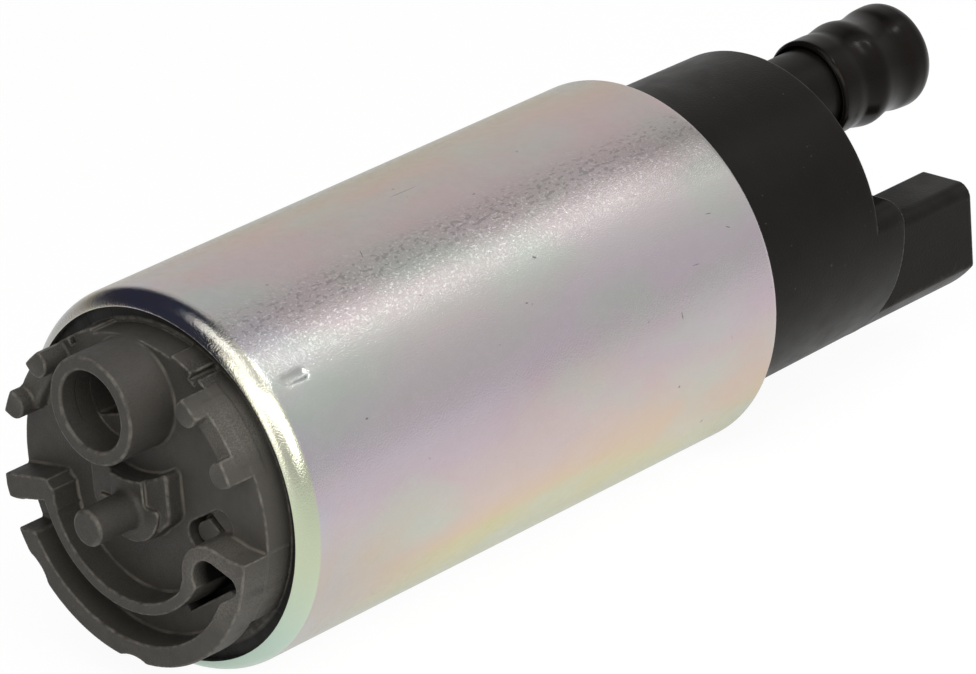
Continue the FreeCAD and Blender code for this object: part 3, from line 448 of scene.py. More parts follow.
def block_outline(y, z):
    """Shield under the post: straight sides, hollow top round the tube, slanted shoulders, round foot."""
    side = np.abs(y) - BLOCK_HALF
    shoulder = 0.635 * side - 0.773 * (z + 1.1)
    foot = np.minimum(disc(y, z, AXIS, 4.25), -2.62 - z)
    return meet(meet(meet(side, shoulder, 0.5), foot, 0.2), tube_hollow(y, z), BLOCK_CORNER)


def pad_outline(y, z):
    """Thin step on the block: a stem up to the hollow and a round lobe below its shoulder."""
    stem = np.maximum(np.abs(y) - 2.2, -1.1 - z)
    lobe = meet(disc(y, z, AXIS, 4.05), z + 0.1, 0.5)
    return np.maximum(join(stem, lobe, 0.5), tube_hollow(y, z))


def rib_outline(y, z):
    """Four short bars on the rim with round inner ends."""
    bars = None
    for angle in RIB_ANGLES:
        turn = math.radians(angle)
        nose = (CHANNEL_OUTER_R + RIB_HALF) * math.cos(turn), (CHANNEL_OUTER_R + RIB_HALF) * math.sin(turn)
        tail = (RIM_R + 2) * math.cos(turn), (RIM_R + 2) * math.sin(turn)
        bar = capsule(y, z, nose, tail, RIB_HALF)
        bars = bar if bars is None else np.minimum(bars, bar)
    return meet(bars, disc(y, z, AXIS, RIM_R), 0.2)


def ledge_outline(y, z):
    """Low ledges between each two ribs, outwards from their inner edge."""
    first = wedge(y, z, RIB_ANGLES[0], RIB_ANGLES[1])
    second = wedge(y, z, RIB_ANGLES[2], RIB_ANGLES[3])
    return np.maximum(LEDGE_INNER_R - np.hypot(y, z), np.minimum(first, second))


def rim_notches(x, y, z):
    """Recesses in the rim's side, a shallow one on top and four deep ones of which two are narrow slots,
    and two bites out of the outer wall, all as far as the back of the shell's lip."""
    radius = np.hypot(y, z)
    notches = np.maximum(wedge(y, z, *SHALLOW_NOTCH), RIM_R - 0.4 - radius)
    deep = np.minimum.reduce([wedge(y, z, *turn) for turn in DEEP_NOTCHES])
    deep = np.maximum(deep, RIM_R - 0.8 - radius)
    notches = np.minimum(notches, np.maximum(deep, FLOOR_X - x))
    for angle in BITE_ANGLES:
        turn = math.radians(angle)
        centre = (RIM_R + 3.5) * math.cos(turn), (RIM_R + 3.5) * math.sin(turn)
        notches = np.minimum(notches, disc(y, z, centre, BITE_R))
    return np.maximum(notches, x - LIP_THICKNESS)


def vent(x, y, z):
    """Oval recess with two low plateaus left standing in it and a slanted trench between them."""
    turn = math.radians(VENT_TURN)
    a = VENT[0] - VENT_REACH * math.cos(turn), VENT[1] - VENT_REACH * math.sin(turn)
    b = VENT[0] + VENT_REACH * math.cos(turn), VENT[1] + VENT_REACH * math.sin(turn)
    oval = capsule(y, z, a, b, VENT_HALF)
    along = (y - VENT[0]) * math.cos(turn) + (z - VENT[1]) * math.sin(turn)
    aside = (y - VENT[0]) * math.sin(turn) - (z - VENT[1]) * math.cos(turn)
    slant = (along + 0.35 * aside) / 1.06
    inner = slab(np.maximum(oval + 0.4, slant + 0.08), x, VENT_STEP_X, 3.0, 0.1)
    outer = slab(0.82 - slant, x, VENT_STEP_X - 0.1, 3.0, 0.1)
    return cut(slab(oval, x, FLOOR_X - 2, VENT_X, 0.15), np.minimum(inner, outer), 0.1)


def tube_bore(x, y, z):
    """Bore of the tube, round down to a half-moon shelf, and open only above the shelf's edge below it."""
    bore = disc(y, z, TUBE, TUBE_BORE_R)
    turn = math.radians(SHELF_TURN)
    above = (z - TUBE[1]) * math.cos(turn) - y * math.sin(turn) + 1.5
    mouth = slab(bore, x, TUBE_X - 3, SHELF_X, 0.1)
    port = slab(meet(bore, -above, 0.3), x, SHELF_X - 2, COVER_BACK_X + 2, 0.1)
    return join(mouth, port, 0.15)


def inlet_field(x, y, z):
    """The whole inlet cover: flange, face, walls, ribs, block, post and tube, less its recesses. The deep
    pocket runs on under the hook, as far as a slanted line across the channel."""
    rim = disc(y, z, AXIS, RIM_R)
    face = cut(slab(rim, x, FLOOR_X, COVER_BACK_X, MOULD_EDGE), vent(x, y, z), 0.2)
    back = FLOOR_X + 1.5
    walls = slab(curved_walls(y, z), x, WALL_X, VENT_X + 0.5, MOULD_EDGE)
    solid = join(face, walls, MOULD_FILLET)
    solid = join(solid, slab(rib_outline(y, z), x, WALL_X, back, MOULD_EDGE), MOULD_FILLET)
    ledge = meet(slab(ledge_outline(y, z), x, LEDGE_X, back, 0.55), rim, 0.12)
    solid = join(solid, ledge, 0.3)
    solid = join(solid, slab(block_outline(y, z), x, BLOCK_X, back, 0.32), MOULD_FILLET)
    solid = join(solid, slab(pad_outline(y, z), x, PAD_X, back, 0.16), 0.16)
    solid = join(solid, slab(disc(y, z, POST, POST_R), x, POST_X, back, 0.45), 0.7)
    solid = join(solid, slab(disc(y, z, TUBE, TUBE_R), x, TUBE_X, back, 0.3), 0.3)
    solid = np.minimum(solid, slab(disc(y, z, AXIS, FLANGE_R), x, LIP_THICKNESS, COVER_BACK_X, 0.1))
    solid = cut(solid, tube_bore(x, y, z), 0.35)
    channel = channel_outline(y, z)
    below = -0.534 * y - 0.846 * z - 11.66
    deep = slab(np.maximum(pocket(y, z), np.minimum(-channel, below)), x, WALL_X - 2, POCKET_X, 0.15)
    under_hook = np.maximum(np.maximum(channel, below), wedge(y, z, 200.0, 246.0))
    deep = np.minimum(deep, slab(under_hook, x, WALL_X - 2, POCKET_X, 0.1))
    solid = cut(solid, deep, 0.15)
    solid = cut(solid, rim_notches(x, y, z), 0.15)
    flow = np.maximum(ring(y, z, *FLOW_RING), wedge(y, z, *FLOW_TURN))
    solid = cut(solid, slab(flow, x, COVER_BACK_X - FLOW_DEPTH, COVER_BACK_X + 2, 0.3), 0.1)
    return cut(solid, slab(disc(y, z, AXIS, PIN_R), x, PIN_HOLE_X, COVER_BACK_X + 2, 0.05), 0.1)


def make_inlet_cover(material):
    """The face that shows, fine, and the flange that the shell hides, coarser, from one field."""
    def face(x, y, z):
        return np.maximum(inlet_field(x, y, z), x - FACE_BACK_X)

    def flange(x, y, z):
        return np.maximum(inlet_field(x, y, z), FACE_BACK_X - x)

    out = FLANGE_R + 0.5
    moulded("inlet_cover_face", face, (POST_X - 0.5, -out, -out), (FACE_BACK_X + 0.5, out, out),
            0.15, 190000, "housing", material, ["inlet_cover"])
    moulded("inlet_cover_flange", flange, (FACE_BACK_X - 0.9, -out, -out), (COVER_BACK_X + 0.9, out, out),
            0.4, 60000, "housing", material, ["inlet_cover"])


# Outlet cover

def plug_outline(y, z, inset):
    """Shroud's section: straight sides, one rounded corner, and the drum's curve below."""
    across = np.maximum(PLUG_OUTER_Y + inset - y, y - PLUG_INNER_Y + inset)
    corner = max(PLUG_CORNER - inset, 0.4)
    body = meet(across, z - PLUG_TOP_Z + inset, corner)
    sharp = np.maximum(z - PLUG_TOP_Z + inset, y - PLUG_INNER_Y + inset)
    body = np.where(y > (PLUG_OUTER_Y + PLUG_INNER_Y) / 2, meet(across, sharp, 0.25), body)
    return meet(body, disc(y, z, AXIS, DRUM_END_R - inset), 0.12)


def outlet_field(x, y, z):
    """Flange, drafted drum with its lobe, nipple and shroud, less the cavity, bores and socket."""
    draft = (DRUM_R - DRUM_END_R) / (LOBE_END_X - SHELL_LENGTH)
    drum = np.hypot(y, z) - DRUM_R + draft * np.clip(x - SHELL_LENGTH, 0, LOBE_END_X - SHELL_LENGTH)
    solid = slab(disc(y, z, AXIS, FLANGE_R), x, COVER_FRONT_X, COVER_FLANGE_X, 0.1)
    solid = np.minimum(solid, slab(drum, x, COVER_FRONT_X + 0.5, DRUM_END_X, 0.35))
    lobe = slab(meet(drum, z - LOBE_TOP_Z, LOBE_CORNER), x, DRUM_END_X - 6, LOBE_END_X, 0.22)
    solid = np.minimum(solid, lobe)
    solid = join(solid, slab(plug_outline(y, z, 0.0), x, LOBE_END_X - 1, PLUG_END_X, 0.2), 0.15)
    axis = (0.0, NIPPLE_Z)
    cavity = slab(disc(y, z, AXIS, CAVITY_R), x, COVER_FRONT_X - 2, DRUM_END_X - 2, 0.3)
    low = slab(np.maximum(disc(y, z, AXIS, CAVITY_R), z - LOBE_TOP_Z + 1.75), x, COVER_FLANGE_X,
               LOBE_END_X - 2, 0.3)
    solid = cut(solid, np.minimum(cavity, low), 0.2)
    boss = slab(disc(y, z, axis, NIPPLE_BORE_R + 1.6), x, NIPPLE_BOSS_X, DRUM_END_X, 0.2)
    boss = np.minimum(boss, slab(disc(y, z, RELIEF, RELIEF_BOSS_R), x, RELIEF_BOSS_X, LOBE_END_X, 0.2))
    solid = join(solid, boss, 0.3)
    swell = BARB_RISE * np.clip((x - BARB_X + 0.3) / 0.3, 0, 1)
    swell = swell * np.clip((BARB_X + BARB_LENGTH - x) / BARB_LENGTH, 0, 1)
    nipple = slab(disc(y, z, axis, NIPPLE_R) - swell, x, DRUM_END_X - 2, NIPPLE_END_X, 0.45)
    solid = join(solid, nipple, 0.5)
    bore = np.minimum(slab(disc(y, z, axis, NIPPLE_BORE_R), x, 79.0, NIPPLE_END_X + 2, 0.1),
                      slab(disc(y, z, axis, 2.0), x, 75.0, 80.0, 0.05))
    relief = np.minimum(slab(disc(y, z, RELIEF, RELIEF_BORE_R), x, 80.2, LOBE_END_X + 2, 0.05),
                        slab(disc(y, z, RELIEF, 1.1), x, 77.0, 81.0, 0.05))
    socket = slab(plug_outline(y, z, PLUG_WALL), x, PLUG_END_X - SOCKET_DEPTH, PLUG_END_X + 2, 0.2)
    solid = cut(solid, np.minimum(np.minimum(bore, relief), socket), 0.15)
    groove = slab(ring(y, z, SEAL_GROOVE_R, SHELL_R), x, *SEAL_GROOVE, 0.05)
    return np.maximum(solid, -groove)


def make_outlet_cover(material):
    out = FLANGE_R + 0.6
    low, high = (COVER_FRONT_X - 0.6, -out, -out), (NIPPLE_END_X + 0.6, out, out)
    moulded("outlet_cover_body", outlet_field, low, high, 0.2, 190000, "housing", material,
            ["outlet_cover"])


# Shell and cap

def make_shell(material):
    """Drawn tube with rolled ends: the profile turned about the axis, finer round the punched mark, which
    is a shallow trough along x that is deepest at its rear end."""
    inside_end = SHELL_LENGTH - LIP_THICKNESS
    profile = np.concatenate([
        [(LIP_THICKNESS, FRONT_OPENING_R), (0.4, FRONT_OPENING_R)],
        corner_arc(0.16, FRONT_OPENING_R + 0.09, 0.09, 270, ROLL_START + 10, 6),
        corner_arc(*ROLL_CENTRE, ROLL_R, ROLL_START, ROLL_END, 18), [(2.3, SHELL_R)],
        run(2.3, SHELL_R, 2.9, SHELL_R, 2), run(2.9, SHELL_R, 7.3, SHELL_R, 36),
        run(7.3, SHELL_R, SHELL_LENGTH - 1.2, SHELL_R, 56),
        corner_arc(SHELL_LENGTH - 0.9, SHELL_R - 0.9, 0.9, 90, 45, 6),
        corner_arc(SHELL_LENGTH - 0.3, SHELL_R - 0.85, 0.3, 45, 0, 4),
        run(SHELL_LENGTH, SHELL_R - 1.1, SHELL_LENGTH, REAR_OPENING_R, 3),
        [(SHELL_LENGTH, REAR_OPENING_R + 0.1), (SHELL_LENGTH - 0.1, REAR_OPENING_R),
         (inside_end, REAR_OPENING_R), (inside_end, BORE_R)],
        run(inside_end, BORE_R, LIP_THICKNESS, BORE_R, 30), [(LIP_THICKNESS, BORE_R)]])
    angles = np.concatenate([np.linspace(MARK_ANGLE + 5, MARK_ANGLE + 355, 330, endpoint=False),
                             np.linspace(MARK_ANGLE - 5, MARK_ANGLE + 5, 60, endpoint=False)])
    x, radius = profile[:, :1], np.repeat(profile[:, 1:], len(angles), 1)
    across = np.radians((angles - MARK_ANGLE + 180) % 360 - 180) * SHELL_R
    outline = np.hypot(np.maximum(np.abs(x - MARK_X) - MARK_HALF_LENGTH, 0), across) - MARK_HALF_WIDTH
    trough = 1 / (1 + np.exp(np.minimum(outline * 9, 50))) * (0.35 + 0.65 * np.clip((x - 3.4) / 3.4, 0, 1))
    outside = (radius > SHELL_R - 0.01) & (x > 2.3) & (x < 12)
    radius = radius - outside * MARK_DEPTH * trough
    points = spin(x, radius, angles).reshape(-1, 3)
    faces = grid_faces(len(profile), len(angles), True)
    put("shell_body", points, faces, "housing", material, ["steel_shell"])


def make_cap(material):
    """Soft cap: a hollow turned profile with a long rim band drawn in at its opening, a groove, a bulge
    over the barb and a domed end, dented a little by slow waves round and along it, and pressed flat at
    one place on the bulge."""
    turn_x = CAP_END_X - CAP_ROUND
    x = np.linspace(CAP_RIM_X + 0.64, turn_x, 100)
    outside = CAP_R + (CAP_END_R - CAP_R) / (1 + np.exp(-(x - CAP_STEP_X) * 3))
    for middle, width, rise in ((CAP_RIM_X + 0.7, 0.9, 0.04), (CAP_BULGE_X, 1.3, 0.31),
                                (CAP_GROOVE_X, 0.8, -0.10), (CAP_WAIST_X, 0.9, -0.05)):
        outside = outside + rise * bell(x, middle, width)
    inner_x = CAP_END_X - 1.0
    bend = np.radians(np.linspace(88, 0, 22))
    top_end_r = CAP_END_R - CAP_ROUND
    shoulder = np.stack([turn_x + CAP_ROUND * np.cos(bend), top_end_r + CAP_ROUND * np.sin(bend)], -1)
    top_r = np.linspace(top_end_r, 0.4, 8)[1:]
    top = np.stack([CAP_END_X + CAP_END_DOME * (1 - (top_r / top_end_r) ** 2), top_r], -1)
    profile = np.concatenate([
        [(inner_x, 1.5), (inner_x, 3.2), (inner_x - 0.2, 4.2), (inner_x - 1.2, CAP_BORE_R)],
        run(inner_x - 1.2, CAP_BORE_R, CAP_RIM_X + 0.8, CAP_BORE_R, 16),
        corner_arc(CAP_RIM_X + 0.16, CAP_RIM_OPENING_R + 0.16, 0.16, 300, 150, 6),
        corner_arc(CAP_RIM_X + 0.62, 4.74, 0.6, 170, 95, 8), np.stack([x, outside], -1), shoulder, top])
    angles = np.linspace(0, 360, 128, endpoint=False)
    turn = np.radians(angles)
    px, pr = profile[:, :1], profile[:, 1:]
    wave = 0.045 * np.cos(2 * turn + 0.5 * px) + 0.035 * np.cos(3 * turn - 0.9 * px + 1.0)
    slack = np.clip((pr - 5.1) / 0.15, 0, 1) * np.clip((px - CAP_RIM_X - 0.5) / 1.5, 0, 1)
    across = (np.radians(angles)[None, :] - math.radians(CAP_FLAT_ANGLE)) * 5.5
    flat = 0.12 * bell(px, CAP_FLAT_X, 1.2) * bell(across, 0.0, 1.25)
    points = spin(px, pr + (wave * 0.8 - flat) * slack, angles, 0.0, NIPPLE_Z).reshape(-1, 3)
    rows, columns = len(profile), len(angles)
    faces = grid_faces(rows, columns, False).tolist()
    poles = np.array([(inner_x, 0.0, NIPPLE_Z), (CAP_END_X + CAP_END_DOME, 0.0, NIPPLE_Z)])
    first, last = len(points), len(points) + 1
    ring_start = (rows - 1) * columns
    for c in range(columns):
        after = (c + 1) % columns
        faces.append([first, after, c])
        faces.append([ring_start + c, ring_start + after, last])
    points = np.concatenate([points, poles])
    put("dust_cap_skin", points, faces, "dust_cap", material, ["dust_cap"])


# Materials

def add(tree, kind, inputs=None, **settings):
    """One node with its settings, and a value or a link for its own sockets."""
    made = tree.nodes.new(kind)
    for key, value in settings.items():
        setattr(made, key, value)
    for key, value in (inputs or {}).items():
        if isinstance(value, bpy.types.NodeSocket):
            tree.links.new(value, made.inputs[key])
        else:
            made.inputs[key].default_value = value
    return made


def effect(name, sockets_in, sockets_out):
    """An empty node group with named sockets; each is (name, kind, default)."""
    group = bpy.data.node_groups.new(name, "ShaderNodeTree")
    for label, kind, default in sockets_in:
        socket = group.interface.new_socket(label, in_out="INPUT", socket_type="NodeSocket" + kind)
        if default is not None:
            socket.default_value = default
    for label, kind in sockets_out:
        group.interface.new_socket(label, in_out="OUTPUT", socket_type="NodeSocket" + kind)
    return group, group.nodes.new("NodeGroupInput").outputs, group.nodes.new("NodeGroupOutput").inputs


def calc(tree, operation, *values):
    return add(tree, "ShaderNodeMath", dict(enumerate(values)), operation=operation).outputs[0]


def times(tree, a, b):
    return calc(tree, "MULTIPLY", a, b)


def between(tree, value, start, end, low=0.0, high=1.0):
    """A value spread from one range to another, held at both ends."""
    return add(tree, "ShaderNodeMapRange", {"Value": value, "From Min": start, "From Max": end,
                                            "To Min": low, "To Max": high}).outputs[0]


def off(tree, value, middle):
    """How far a value is from a middle one, either way."""
    return calc(tree, "ABSOLUTE", calc(tree, "SUBTRACT", value, middle))


def far(tree, a, b):
    """Length of the straight line with two given sides at a right angle."""
    return calc(tree, "SQRT", calc(tree, "MULTIPLY_ADD", a, a, times(tree, b, b)))


def stretched(tree, where, share):
    """Coordinates whose x is shortened, which draws a pattern out along the pump."""
    return add(tree, "ShaderNodeMapping", {"Vector": where, "Scale": (share, 1.0, 1.0)}).outputs[0]


def noise(tree, given, detail):
    """Noise inside an effect group, its grain size given in metres."""
    scale = calc(tree, "DIVIDE", 1.0, given["Size"])
    made = add(tree, "ShaderNodeTexNoise", {"Vector": given["Vector"], "Scale": scale, "Detail": detail})
    return made.outputs[0]


def make_grain():
    """Noise of a given grain size, spread between a low and a high value."""
    tree, given, result = effect("grain", [("Vector", "Vector", None), ("Size", "Float", 0.001),
                                           ("Detail", "Float", 2.0), ("Low", "Float", 0.0),
                                           ("High", "Float", 1.0)], [("Value", "Float")])
    spread = between(tree, noise(tree, given, given["Detail"]), 0.3, 0.7, given["Low"], given["High"])
    tree.links.new(spread, result["Value"])
    return tree


# Used for worn edges and for painted highlights along hollow fillets.
def make_wear_and_sheen():
    """Edge mask broken up by grain: the edge value times noise, between nothing and a given strength."""
    tree, given, result = effect("wear_and_sheen", [("Edge", "Float", 0.0), ("Vector", "Vector", None),
                                          ("Size", "Float", 0.001), ("Strength", "Float", 1.0)],
                                 [("Mask", "Float")])
    mask = times(tree, given["Edge"], between(tree, noise(tree, given, 3.0), 0.35, 0.65))
    tree.links.new(times(tree, mask, given["Strength"]), result["Mask"])
    return tree


def make_specks():
    """Sparse small flecks: a noise that only passes its highest values."""
    tree, given, result = effect("specks", [("Vector", "Vector", None), ("Size", "Float", 0.001),
                                            ("Above", "Float", 0.72)], [("Mask", "Float")])
    full = calc(tree, "ADD", given["Above"], 0.04)
    tree.links.new(between(tree, noise(tree, given, 1.0), given["Above"], full), result["Mask"])
    return tree


GRAIN = make_grain()
WEAR_AND_SHEEN = make_wear_and_sheen()
SPECKS = make_specks()


def placed(tree, group, where, size, **more):
    """The output of an effect group laid over coordinates, with its grain size in metres."""
    return add(tree, "ShaderNodeGroup", {"Vector": where, "Size": size, **more}, node_tree=group).outputs[0]


def mix(tree, share, a, b):
    """Colour mixed from a to b by a share; a colour is a socket or three values."""
    a, b = (c if isinstance(c, bpy.types.NodeSocket) else (*c, 1.0) for c in (a, b))
    return add(tree, "ShaderNodeMix", {0: share, 6: a, 7: b}, data_type="RGBA").outputs[2]


def attribute(tree, name):
    return add(tree, "ShaderNodeAttribute", attribute_name=name).outputs["Fac"]


def surface(name, **constants):
    """A material with its shader, the object's coordinates, and the shader's own constant values."""
    material = bpy.data.materials.new(name)
    material.use_nodes = True
    tree = material.node_tree
    shader = tree.nodes["Principled BSDF"]
    for key, value in constants.items():
        shader.inputs[key.replace("_", " ")].default_value = value
    where = add(tree, "ShaderNodeTexCoord").outputs["Object"]
    return material, tree, shader, where


def set_surface(tree, shader, base, rough, height, distance):
    """Colour, roughness and relief joined to a shader; the height counts for a distance in metres."""
    bump = add(tree, "ShaderNodeBump", {"Height": height, "Distance": distance})
    tree.links.new(base, shader.inputs["Base Color"])
    tree.links.new(rough, shader.inputs["Roughness"])
    tree.links.new(bump.outputs[0], shader.inputs["Normal"])


def oval_distance(tree, vector, centre, size, slant=0.0):
    """Distance from a centre in units of an oval's half axes, in millimetres, turned by a slant."""
    place = [c * MM for c in centre]
    local = add(tree, "ShaderNodeMapping", {"Vector": vector, "Location": place,
                                            "Rotation": (0.0, 0.0, math.radians(slant)),
                                            "Scale": [s * MM for s in size]}, vector_type="TEXTURE")
    return add(tree, "ShaderNodeVectorMath", {0: local.outputs[0]}, operation="LENGTH").outputs["Value"]


# Soft round patches on the inlet cover: y, z, reach and strength. The pale ones are painted light on the
# hook and ledges; of the dark ones, one darkens round the post and two are painted shade at the rim's
# slots.
PAINTED_LIGHT_PATCHES = ((-11.6, -5.0, 5.2, 0.8), (12.0, 9.2, 3.6, 0.55), (-12.0, 9.2, 3.6, 0.55))
DARK_PATCHES = ((0.0, -1.5, 10.0, 0.22), (8.5, 14.2, 2.4, 0.8), (-8.5, 14.2, 2.4, 0.8))

# Painted shade in the mouth of the deep pocket, an oval seen along x
MOUTH = (0.0, -12.0, -4.95)
MOUTH_SIZE = (1000.0, 3.3, 2.45)


def grey_moulding():
    """Dark warm grey filled plastic: cloudy, finely pitted, paler where edges are worn, with painted
    highlights along fillets and painted light towards -y and over the hook and ledges, darker round the
    post, with painted shade at the rim's slots, and painted black shade in the deep pocket and in the gap
    behind the shell's lip."""
    material, tree, shader, where = surface("grey_moulding", Specular_IOR_Level=0.35)
    cloud = placed(tree, GRAIN, where, 0.0035, Detail=4.0)
    base = mix(tree, cloud, (0.040, 0.0365, 0.0325), (0.054, 0.050, 0.0445))
    parts = add(tree, "ShaderNodeSeparateXYZ", {0: where}).outputs
    # Painted light: the cover gets lighter towards -y, as if lit from that side.
    painted_light = between(tree, parts[1], -5 * MM, -15 * MM, 0.0, 0.5)
    base = mix(tree, painted_light, base, (0.10, 0.094, 0.084))
    # Pale patches are painted light; dark ones darken round the post and paint shade at the rim's slots.
    for places, colour in ((PAINTED_LIGHT_PATCHES, (0.16, 0.15, 0.133)), (DARK_PATCHES, (0.012, 0.011, 0.010))):
        for middle_y, middle_z, reach, share in places:
            away = far(tree, off(tree, parts[1], middle_y * MM), off(tree, parts[2], middle_z * MM))
            base = mix(tree, between(tree, away, reach * MM, reach * 0.5 * MM, 0.0, share), base, colour)
    fine = placed(tree, GRAIN, where, 0.00016, Detail=2.0)
    base = mix(tree, fine, base, (0.062, 0.058, 0.051))
    edge = between(tree, attribute(tree, "edge"), 0.45, 1.0)
    worn = placed(tree, WEAR_AND_SHEEN, where, 0.0009, Edge=edge, Strength=0.55)
    base = mix(tree, worn, base, (0.22, 0.205, 0.18))
    # Painted highlight: paler lines along the hollow fillets at the bases of walls.
    fold = between(tree, attribute(tree, "hollow"), 0.55, 1.0)
    line = placed(tree, WEAR_AND_SHEEN, where, 0.003, Edge=fold, Strength=0.5)
    base = mix(tree, line, base, (0.22, 0.20, 0.17))
    radius = far(tree, parts[1], parts[2])
    # Painted shade: near black outside the rim in the gap behind the shell's lip.
    outside = between(tree, radius, (RIM_R + 0.02) * MM, (RIM_R + 0.25) * MM)
    gap = times(tree, outside, between(tree, parts[0], LIP, LIP + 0.8 * MM, 0.0, 0.95))
    base = mix(tree, gap, base, (0.003, 0.003, 0.003))
    # Painted shade: near black deep in the pocket, below the floor.
    below_floor = between(tree, parts[0], LIP + (FLOOR_X + 0.3) * MM, LIP + (FLOOR_X + 1.5) * MM, 0.0, 0.96)
    low_half = between(tree, parts[2], -3.0 * MM, -4.5 * MM)
    painted_pocket_shade = times(tree, times(tree, below_floor, low_half), between(tree, radius, 15.2 * MM, 14.8 * MM))
    base = mix(tree, painted_pocket_shade, base, (0.002, 0.002, 0.002))
    # Painted shade: near black in the pocket's mouth, below the tops of the walls.
    face = add(tree, "ShaderNodeCombineXYZ", {1: parts[1], 2: parts[2]}).outputs[0]
    mouth = between(tree, oval_distance(tree, face, MOUTH, MOUTH_SIZE), 1.04, 0.96)
    inside = between(tree, parts[0], LIP + (WALL_X + 0.4) * MM, LIP + (WALL_X + 1.9) * MM, 0.0, 0.96)
    base = mix(tree, times(tree, mouth, inside), base, (0.002, 0.002, 0.002))
    rough = placed(tree, GRAIN, where, 0.0012, Low=0.50, High=0.62)
    set_surface(tree, shader, base, rough, fine, 0.000012)
    return material


def black_moulding():
    """Black satin plastic with a faint flow pattern and a few pale glass specks."""
    material, tree, shader, where = surface("black_moulding", Specular_IOR_Level=0.15,
                                            Specular_Tint=(1.0, 0.96, 0.90, 1.0))
    cloud = placed(tree, GRAIN, where, 0.006, Detail=3.0)
    base = mix(tree, cloud, (0.0050, 0.0044, 0.0037), (0.0075, 0.0068, 0.0058))
    fleck = placed(tree, SPECKS, where, 0.0005, Above=0.775)
    base = mix(tree, fleck, base, (0.040, 0.038, 0.035))
    worn = placed(tree, WEAR_AND_SHEEN, where, 0.002, Edge=attribute(tree, "edge"), Strength=0.35)
    base = mix(tree, worn, base, (0.075, 0.072, 0.066))
    rough = placed(tree, GRAIN, where, 0.0025, Detail=3.0, Low=0.32, High=0.41)
    fine = placed(tree, GRAIN, where, 0.00022)
    set_surface(tree, shader, base, rough, fine, 0.000008)
    return material


def soft_black():
    """Shiny black-brown vinyl, faintly rippled."""
    material, tree, shader, where = surface("soft_black", Specular_IOR_Level=0.13,
                                            Specular_Tint=(1.0, 0.96, 0.91, 1.0))
    cloud = placed(tree, GRAIN, where, 0.004, Detail=2.0)
    base = mix(tree, cloud, (0.0050, 0.0039, 0.0033), (0.0072, 0.0057, 0.0049))
    rough = placed(tree, GRAIN, where, 0.0030, Detail=1.0, Low=0.21, High=0.26)
    ripple = placed(tree, GRAIN, where, 0.0050, Detail=0.0)
    set_surface(tree, shader, base, rough, ripple, 0.00012)
    return material


# Tints of the film by their angle round the axis
FILM = (
    (0, (0.62, 0.60, 0.62)),  # silver
    (40, (0.60, 0.60, 0.52)),  # pale straw
    (66, (0.63, 0.55, 0.38)),  # gold
    (74, (0.66, 0.55, 0.41)),  # pale gold
    (86, (0.70, 0.55, 0.48)),  # copper pink
    (98, (0.69, 0.55, 0.54)),  # rose
    (118, (0.66, 0.57, 0.58)),  # pale rose
    (136, (0.65, 0.59, 0.59)),  # warm silver
    (150, (0.64, 0.59, 0.61)),  # silver pink
    (158, (0.66, 0.58, 0.65)),  # lilac
    (174, (0.64, 0.53, 0.58)),  # mauve
    (186, (0.67, 0.55, 0.51)),  # dusky pink
    (198, (0.70, 0.55, 0.43)),  # apricot
    (206, (0.69, 0.57, 0.38)),  # gold
    (216, (0.65, 0.61, 0.35)),  # yellow
    (226, (0.62, 0.61, 0.38)),  # yellow green
    (240, (0.56, 0.60, 0.46)),  # green
    (262, (0.56, 0.61, 0.66)),  # blue
    (300, (0.66, 0.57, 0.64)),  # lilac
    (330, (0.68, 0.62, 0.52)),  # straw
    (360, (0.62, 0.60, 0.62)),  # silver
)


def film_colour(tree, where, turn):
    """Tint of the passivation film: a ramp of pale interference colours round the axis, its bands pushed
    about by slow noise that is drawn out along the shell."""
    drawn = stretched(tree, where, 0.35)
    push = placed(tree, GRAIN, drawn, 0.011, Detail=3.0, Low=-0.032, High=0.032)
    share = calc(tree, "FRACT", calc(tree, "ADD", turn, push))
    ramp = add(tree, "ShaderNodeValToRGB", {0: share})
    stops = ramp.color_ramp.elements
    while len(stops) < len(FILM):
        stops.new(0.5)
    for stop, (angle, colour) in zip(stops, FILM):
        stop.position = angle / 360
        stop.color = (*colour, 1.0)
    return ramp.outputs[0]


# Marks on the shell: angle, distance along it, half length, half width and slant
SCRATCHES = (
    (112.0, 21.3, 0.7, 0.06, -62.0), (95.4, 32.4, 2.1, 0.045, 2.0), (136.0, 37.5, 0.26, 0.15, 30.0),
    (109.0, 37.5, 0.22, 0.09, 0.0), (147.0, 33.8, 0.2, 0.08, 10.0), (157.0, 10.4, 0.22, 0.12, 0.0),
    (108.0, 10.2, 0.22, 0.11, 20.0), (170.0, 52.0, 0.10, 0.45, 0.0), (146.0, 59.6, 0.5, 0.06, 12.0),
    (152.0, 61.2, 0.32, 0.09, 30.0), (158.0, 55.5, 0.55, 0.05, 5.0),
)


def scratches(tree, along, turn):
    """Small dark ovals laid out on the shell as on a flat sheet: along it, and round it by the arc."""
    round_it = times(tree, turn, 2 * math.pi * SHELL_R * MM)
    sheet = add(tree, "ShaderNodeCombineXYZ", {0: along, 1: round_it}).outputs[0]
    most = None
    for angle, distance, length, width, slant in SCRATCHES:
        centre = (LIP / MM + distance, math.radians(angle) * SHELL_R, 0.0)
        away = oval_distance(tree, sheet, centre, (length, width, 1000.0), slant)
        mask = between(tree, away, 1.0, 0.6)
        most = mask if most is None else calc(tree, "MAXIMUM", most, mask)
    return most


